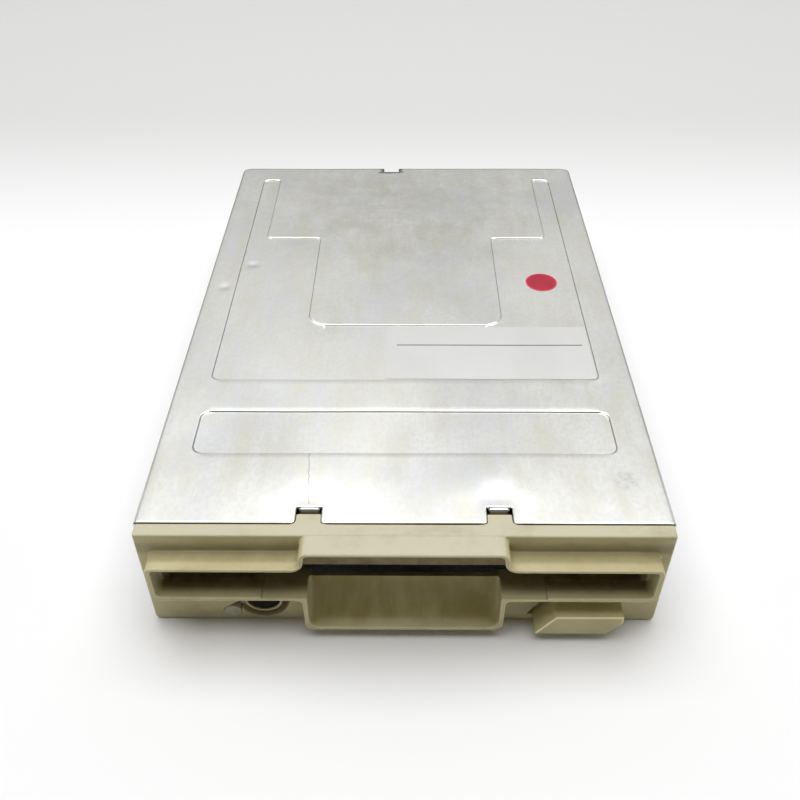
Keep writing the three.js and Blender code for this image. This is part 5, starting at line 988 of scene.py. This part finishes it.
def buttonField(x, y, z):
    # distance to the outline's bar between its face and its rear, less the socket
    b = Values(button)
    body = roundMeet(buttonOutline(x, z, -0.02, -0.02), b.front - y, b.edge)
    socket = meet(between(x, *b.socketX), between(z, *b.socketZ), b.socketFront - y)
    return meet(body, y - b.rear, -socket)


def makeButtonPiece():
    grid = (lines(25.0, (43.0, 0.2)), lines(-8.3, (-6.6, 0.14), (5.6, 0.6)), lines(1.9, (7.9, 0.17)))
    points, faces, normals = netSurface(buttonField, *grid)
    return addMesh("button_moulding", points, faces, "slide", "button_plastic", normals=normals)


buttonPiece = makeButtonPiece()
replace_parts(buttonPiece, "eject_button")
print("button:", len(buttonPiece.data.polygons), "faces")


# Small parts: board and bracket screws, solder, chip leads and surface parts. A board's level is its
# underside.

boards = dict(
    motor=3.2, main=2.6, clampTop=9.85, clampSize=0.54, footTop=8.5,
    screwRadius=2.4, screwHeight=1.15, screwFall=0.45, screwRings=19, screwSteps=64,
    crossLong=1.4, crossWide=0.3, crossDeep=0.7, crossWall=0.3, crossFloor=0.3,
    motorScrews=((-28, 24.5), (28, 24.5), (-28, 80), (28, 80)),
    mainScrews=((-40.5, 95.5), (40.5, 95.5), (-40.5, 140), (40.5, 140)),
    clampScrews=((-9, 65.0), (9, 65.0), (-9, 122.3), (9, 122.3)), bracketScrews=((36.2, 113.8),),
    leadThick=0.15, leadWide=0.34, leadMargin=0.6,
    leadPath=((-0.15, 1.05), (0.32, 1.05), (0.48, 0.96), (0.66, 0.24), (0.84, 0.09), (1.35, 0.09)),
    # first pin, number of pins and rows of each connector; a fillet as radius and height
    pinPitch=2.54, pinRows=((-8.5, 17, (138.4, 141.0)), (-31.3, 4, (140.2,))),
    fillet=((0, -1.05), (0.2, -1.02), (0.27, -0.9), (0.3, -0.55), (0.42, -0.3), (0.62, -0.12), (0.85, 0.0),
            (0, 0.0)),
    # columns and rows of the surface parts
    partSpots=(((-8.5, -4.5, -0.5, 3.5), (104, 108.5, 113, 117.5, 122)),
               ((26, 30, 34), (104, 109, 114, 119, 124)), (range(-34, 38, 6), (131.5,))),
    partEnd=0.72, partHalf=1.05, partWide=0.62, partGrow=0.03, partsPerGap=5, partThick=(0.8, 0.55, 0.55),
)


def sweptBar(rows):
    # a closed bar through rows of four corners, with flat ends
    rows = np.asarray(rows, float)
    count = len(rows)
    points = rows.reshape(-1, 3)
    ends = np.array([[0, 1, 2, 3], [4 * count - 1, 4 * count - 2, 4 * count - 3, 4 * count - 4]])
    faces = trianglesOf(np.concatenate([gridFaces(count, 4, closeColumns=True)[:, ::-1], ends]))
    return points, outward(points, faces)


def makeScrews(name, spots, base, facing=-1, size=1.0):
    # pan heads: the height falls with the fourth power of the radius, less a cross sunk with sloping walls
    b = Values(boards)
    rings = np.linspace(0, b.screwRadius, b.screwRings)
    dome = b.screwHeight * (1 - b.screwFall * (rings / b.screwRadius) ** 4)
    profile = list(zip(rings, dome)) + [(b.screwRadius, 0.0), (0, 0.0)]
    heads = []
    for x, y in spots:
        points, faces = turnedMesh(profile, (0, 0, 0), "z", b.screwSteps)
        turn = 0.37 * x + 0.61 * y  # no two crosses stand alike
        u, v, h = points.T
        p = np.abs(u * math.cos(turn) + v * math.sin(turn))
        q = np.abs(v * math.cos(turn) - u * math.sin(turn))
        cross = np.minimum(meet(p - b.crossLong, q - b.crossWide), meet(q - b.crossLong, p - b.crossWide))
        sunk = np.clip(0.5 - cross / b.crossWall, 0, 1) * b.crossDeep * (h > b.crossFloor)
        points = np.stack([u, v, (h - sunk) * facing], -1) * size + [x, y, base]
        heads.append((points, outward(points, faces)))
    addMesh(name, *joinMeshes(heads), "frame", "plated_steel")


def makeLeads(name, chip, pitch, sides):
    # gull wings: each lead leaves the body, bends to the board and ends in a foot, equally thick all along
    b = Values(boards)
    low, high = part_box(chip)
    middle = np.array([(low.x + high.x) * 500, (low.y + high.y) * 500 - coverFront, b.main])
    half = np.array([(high.x - low.x) * 500, (high.y - low.y) * 500])
    path = np.array(b.leadPath)
    step = np.gradient(path, axis=0)
    across = np.stack([-step[:, 1], step[:, 0]], -1) / np.hypot(*step.T)[:, None] * b.leadThick / 2
    bars = []
    for side in sides:
        out = np.array([math.cos(side * math.pi / 2), math.sin(side * math.pi / 2)])
        along = np.array([-out[1], out[0]])
        reach, room = abs(out @ half), abs(along @ half) - b.leadMargin
        count = int(2 * room / pitch) + 1
        for place in (np.arange(count) - (count - 1) / 2) * pitch:
            rows = []
            for centre, offset in zip(path, across):
                corners = []
                for sign, wide in ((1, 1), (1, -1), (-1, -1), (-1, 1)):
                    away, down = centre + sign * offset
                    flat = out * (reach + away) + along * (place + wide * b.leadWide / 2)
                    corners.append(middle + [*flat, -down])
                rows.append(corners)
            bars.append(sweptBar(rows))
    addMesh(name, *joinMeshes(bars), "frame", "tinned_contacts", smooth=False)


def makeSolder():
    # a fillet round the end of each connector pin, under the main board
    b = Values(boards)
    spots = [(first + b.pinPitch * k, row) for first, count, rows in b.pinRows for k in range(count)
             for row in rows]
    domes = [turnedMesh(b.fillet, (x, y, b.main), "z", 18) for x, y in spots]
    addMesh("pin_solder", *joinMeshes([(p, outward(p, f)) for p, f in domes]), "frame", "tinned_contacts")


def makeSurfaceParts():
    # resistors and capacitors in rows: a bar with two tinned ends, every other one turned a quarter, and
    # places left empty at every fifth
    b = Values(boards)
    spots = [(x, y) for columns, rows in b.partSpots for x in columns for y in rows]
    bodies, ends = [], []
    pieces = ((-b.partEnd, b.partEnd, 0.0, bodies), (-b.partHalf, -b.partEnd, b.partGrow, ends),
              (b.partEnd, b.partHalf, b.partGrow, ends))
    for k, (x, y) in enumerate(spots):
        if k % b.partsPerGap == 3:
            continue
        long, wide = (0, 1) if k % 2 else (1, 0)
        for low, high, grow, kept in pieces:
            rows = []
            for end in (low, high):
                corners = []
                for side, down in ((-1, 0), (1, 0), (1, 1), (-1, 1)):
                    point = [x, y, b.main - down * (b.partThick[k % 3] + grow)]
                    point[long] += end
                    point[wide] += side * (b.partWide + grow)
                    corners.append(point)
                rows.append(corners)
            kept.append(sweptBar(rows))
    addMesh("surface_part_bodies", *joinMeshes(bodies), "frame", "black_plastic", smooth=False)
    addMesh("surface_part_ends", *joinMeshes(ends), "frame", "tinned_contacts", smooth=False)


makeScrews("motor_board_screws", boards["motorScrews"], boards["motor"])
makeScrews("main_board_screws", boards["mainScrews"], boards["main"])
makeScrews("rod_clamp_screws", boards["clampScrews"], boards["clampTop"], 1, boards["clampSize"])
makeScrews("motor_bracket_screw", boards["bracketScrews"], boards["footTop"], 1)
makeLeads("controller_leads", "controller_chip", 0.8, (0, 1, 2, 3))
makeLeads("driver_leads", "driver_chip", 1.27, (0, 2))
makeSolder()
makeSurfaceParts()
print("screws, leads, solder and surface parts fitted")


# Holder springs: a coil between the deck and the holder's roof; the real one is pressed together as the
# holder comes down, this one keeps its length

coils = dict(wire=0.25, turns=7, around=10, perTurn=28, travel=2.8)


def makeHolderSpring(side):
    # the wire's centre climbs a helix; its round section stands square to the helix
    c = coils
    wire, turns, around = c["wire"], c["turns"], c["around"]
    name = "holder_spring_" + side
    low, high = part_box(name)
    x, y = (low.x + high.x) * 500, (low.y + high.y) * 500 - coverFront
    bottom, top = low.z * 1000 + wire, high.z * 1000 - wire
    radius = (high.x - low.x) * 500 - wire
    count = turns * c["perTurn"] + 1
    turn = np.linspace(0, turns * 2 * math.pi, count)[:, None]
    section = np.arange(around) / around * 2 * math.pi
    rise = (top - bottom) / (turns * 2 * math.pi * radius)
    steep = math.hypot(1, rise)
    reach = radius + wire * np.cos(section)
    lift = wire * np.sin(section)
    px = x + reach * np.cos(turn) + lift * np.sin(turn) * rise / steep
    py = y + reach * np.sin(turn) - lift * np.cos(turn) * rise / steep
    points = listPoints(px, py, bottom + (top - bottom) * turn / turn[-1] + lift / steep)
    points = np.concatenate([points, [points[:around].mean(0), points[-around:].mean(0)]])
    faces = trianglesOf(gridFaces(count, around, closeColumns=True))
    faces = np.concatenate([faces, tipFans(count, around)[:, ::-1]])
    piece = addMesh("coil_spring_" + side, points, outward(points, faces), "frame", slotOf[name])
    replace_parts(piece, name)
    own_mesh(piece)


makeHolderSpring("left")
makeHolderSpring("right")
print("holder springs wound")


# Camera: solved from the cover's and bezel's corners in the photograph

view = dict(
    place=(0.548, -109.204, 149.544), pitch=40.602, yaw=-0.6258, roll=-0.28516, focal=877.605, wide=800,
)


def makeCamera():
    # the focal length is in pixels of a picture that many pixels wide
    pitch, yaw, roll = (math.radians(view[k]) for k in ("pitch", "yaw", "roll"))
    ahead = Vector((math.sin(yaw) * math.cos(pitch), math.cos(yaw) * math.cos(pitch), -math.sin(pitch)))
    level = Vector((math.cos(yaw), -math.sin(yaw), 0))
    over = level.cross(ahead)
    right = math.cos(roll) * level + math.sin(roll) * over
    up = -math.sin(roll) * level + math.cos(roll) * over
    data = bpy.data.cameras.new("camera")
    data.sensor_width = 36
    data.lens = view["focal"] * data.sensor_width / view["wide"]
    data.clip_start, data.clip_end = 0.01, 20
    camera = addObject("camera", data)
    x, y, z = view["place"]
    turn = Matrix((right, up, -ahead)).transposed().to_4x4()
    camera.matrix_world = Matrix.Translation(Vector((x, y + coverFront, z)) / 1000) @ turn
    bpy.context.scene.camera = camera


# Floor and lights, in metres

studio = dict(
    nearFloor=(0.87, 0.87, 0.87), farFloor=(0.64, 0.64, 0.635), fade=(0.05, 0.19), floorHalf=6.0,
    floorRough=0.75, floorSpecular=0.2, under=0.0002, world=0.08, panels=(
        dict(name="high soft light", place=(0.0, 0.085, 1.0), size=(1.1, 1.0), power=12.8),
        dict(name="soft light behind", place=(0.0, 1.05, 0.77), size=(2.0, 0.8), power=2.75),
        dict(name="soft light on the left", place=(-1.0, 0.12, 0.33), size=(1.3, 0.66), power=2.3),
        dict(name="soft light on the right", place=(1.0, 0.12, 0.33), size=(1.3, 0.66), power=2.3),
    ),
)


def makeStudio():
    # a wide floor whose colour darkens towards the rear as painted shade, four soft lights that face the
    # origin, and a dim even surround
    s = Values(studio)
    half = s.floorHalf
    mesh = bpy.data.meshes.new("floor")
    corners = [(-half, -half, 0), (half, -half, 0), (half, half, 0), (-half, half, 0)]
    mesh.from_pydata(corners, [], [(0, 1, 2, 3)])
    floor = addObject("floor", mesh)
    floor.location.z = -s.under
    material, t, place, normal = startMaterial("floor")
    # painted shade: the floor's colour darkens with distance to the rear
    far = t.ramp(t.axes(place)["Y"], *s.fade)
    t.feed("Base Color", t.mix(far, s.nearFloor, s.farFloor))
    t.feed("Roughness", s.floorRough)
    t.feed("Specular IOR Level", s.floorSpecular)
    mesh.materials.append(material)
    for panel in s.panels:
        data = bpy.data.lights.new(panel["name"], "AREA")
        data.shape = "RECTANGLE"
        data.size, data.size_y = panel["size"]
        data.energy = panel["power"]
        light = addObject(panel["name"], data)
        light.location = panel["place"]
        light.rotation_mode = "QUATERNION"
        light.rotation_quaternion = (-Vector(panel["place"])).to_track_quat("-Z", "Y")
    world = bpy.data.worlds.new("studio")
    world.use_nodes = True
    background = world.node_tree.nodes["Background"].inputs
    background["Color"].default_value = (1, 1, 1, 1)
    background["Strength"].default_value = s.world
    bpy.context.scene.world = world
    bpy.context.scene.view_settings.view_transform = "Standard"


makeCamera()
makeStudio()
print("studio ready")
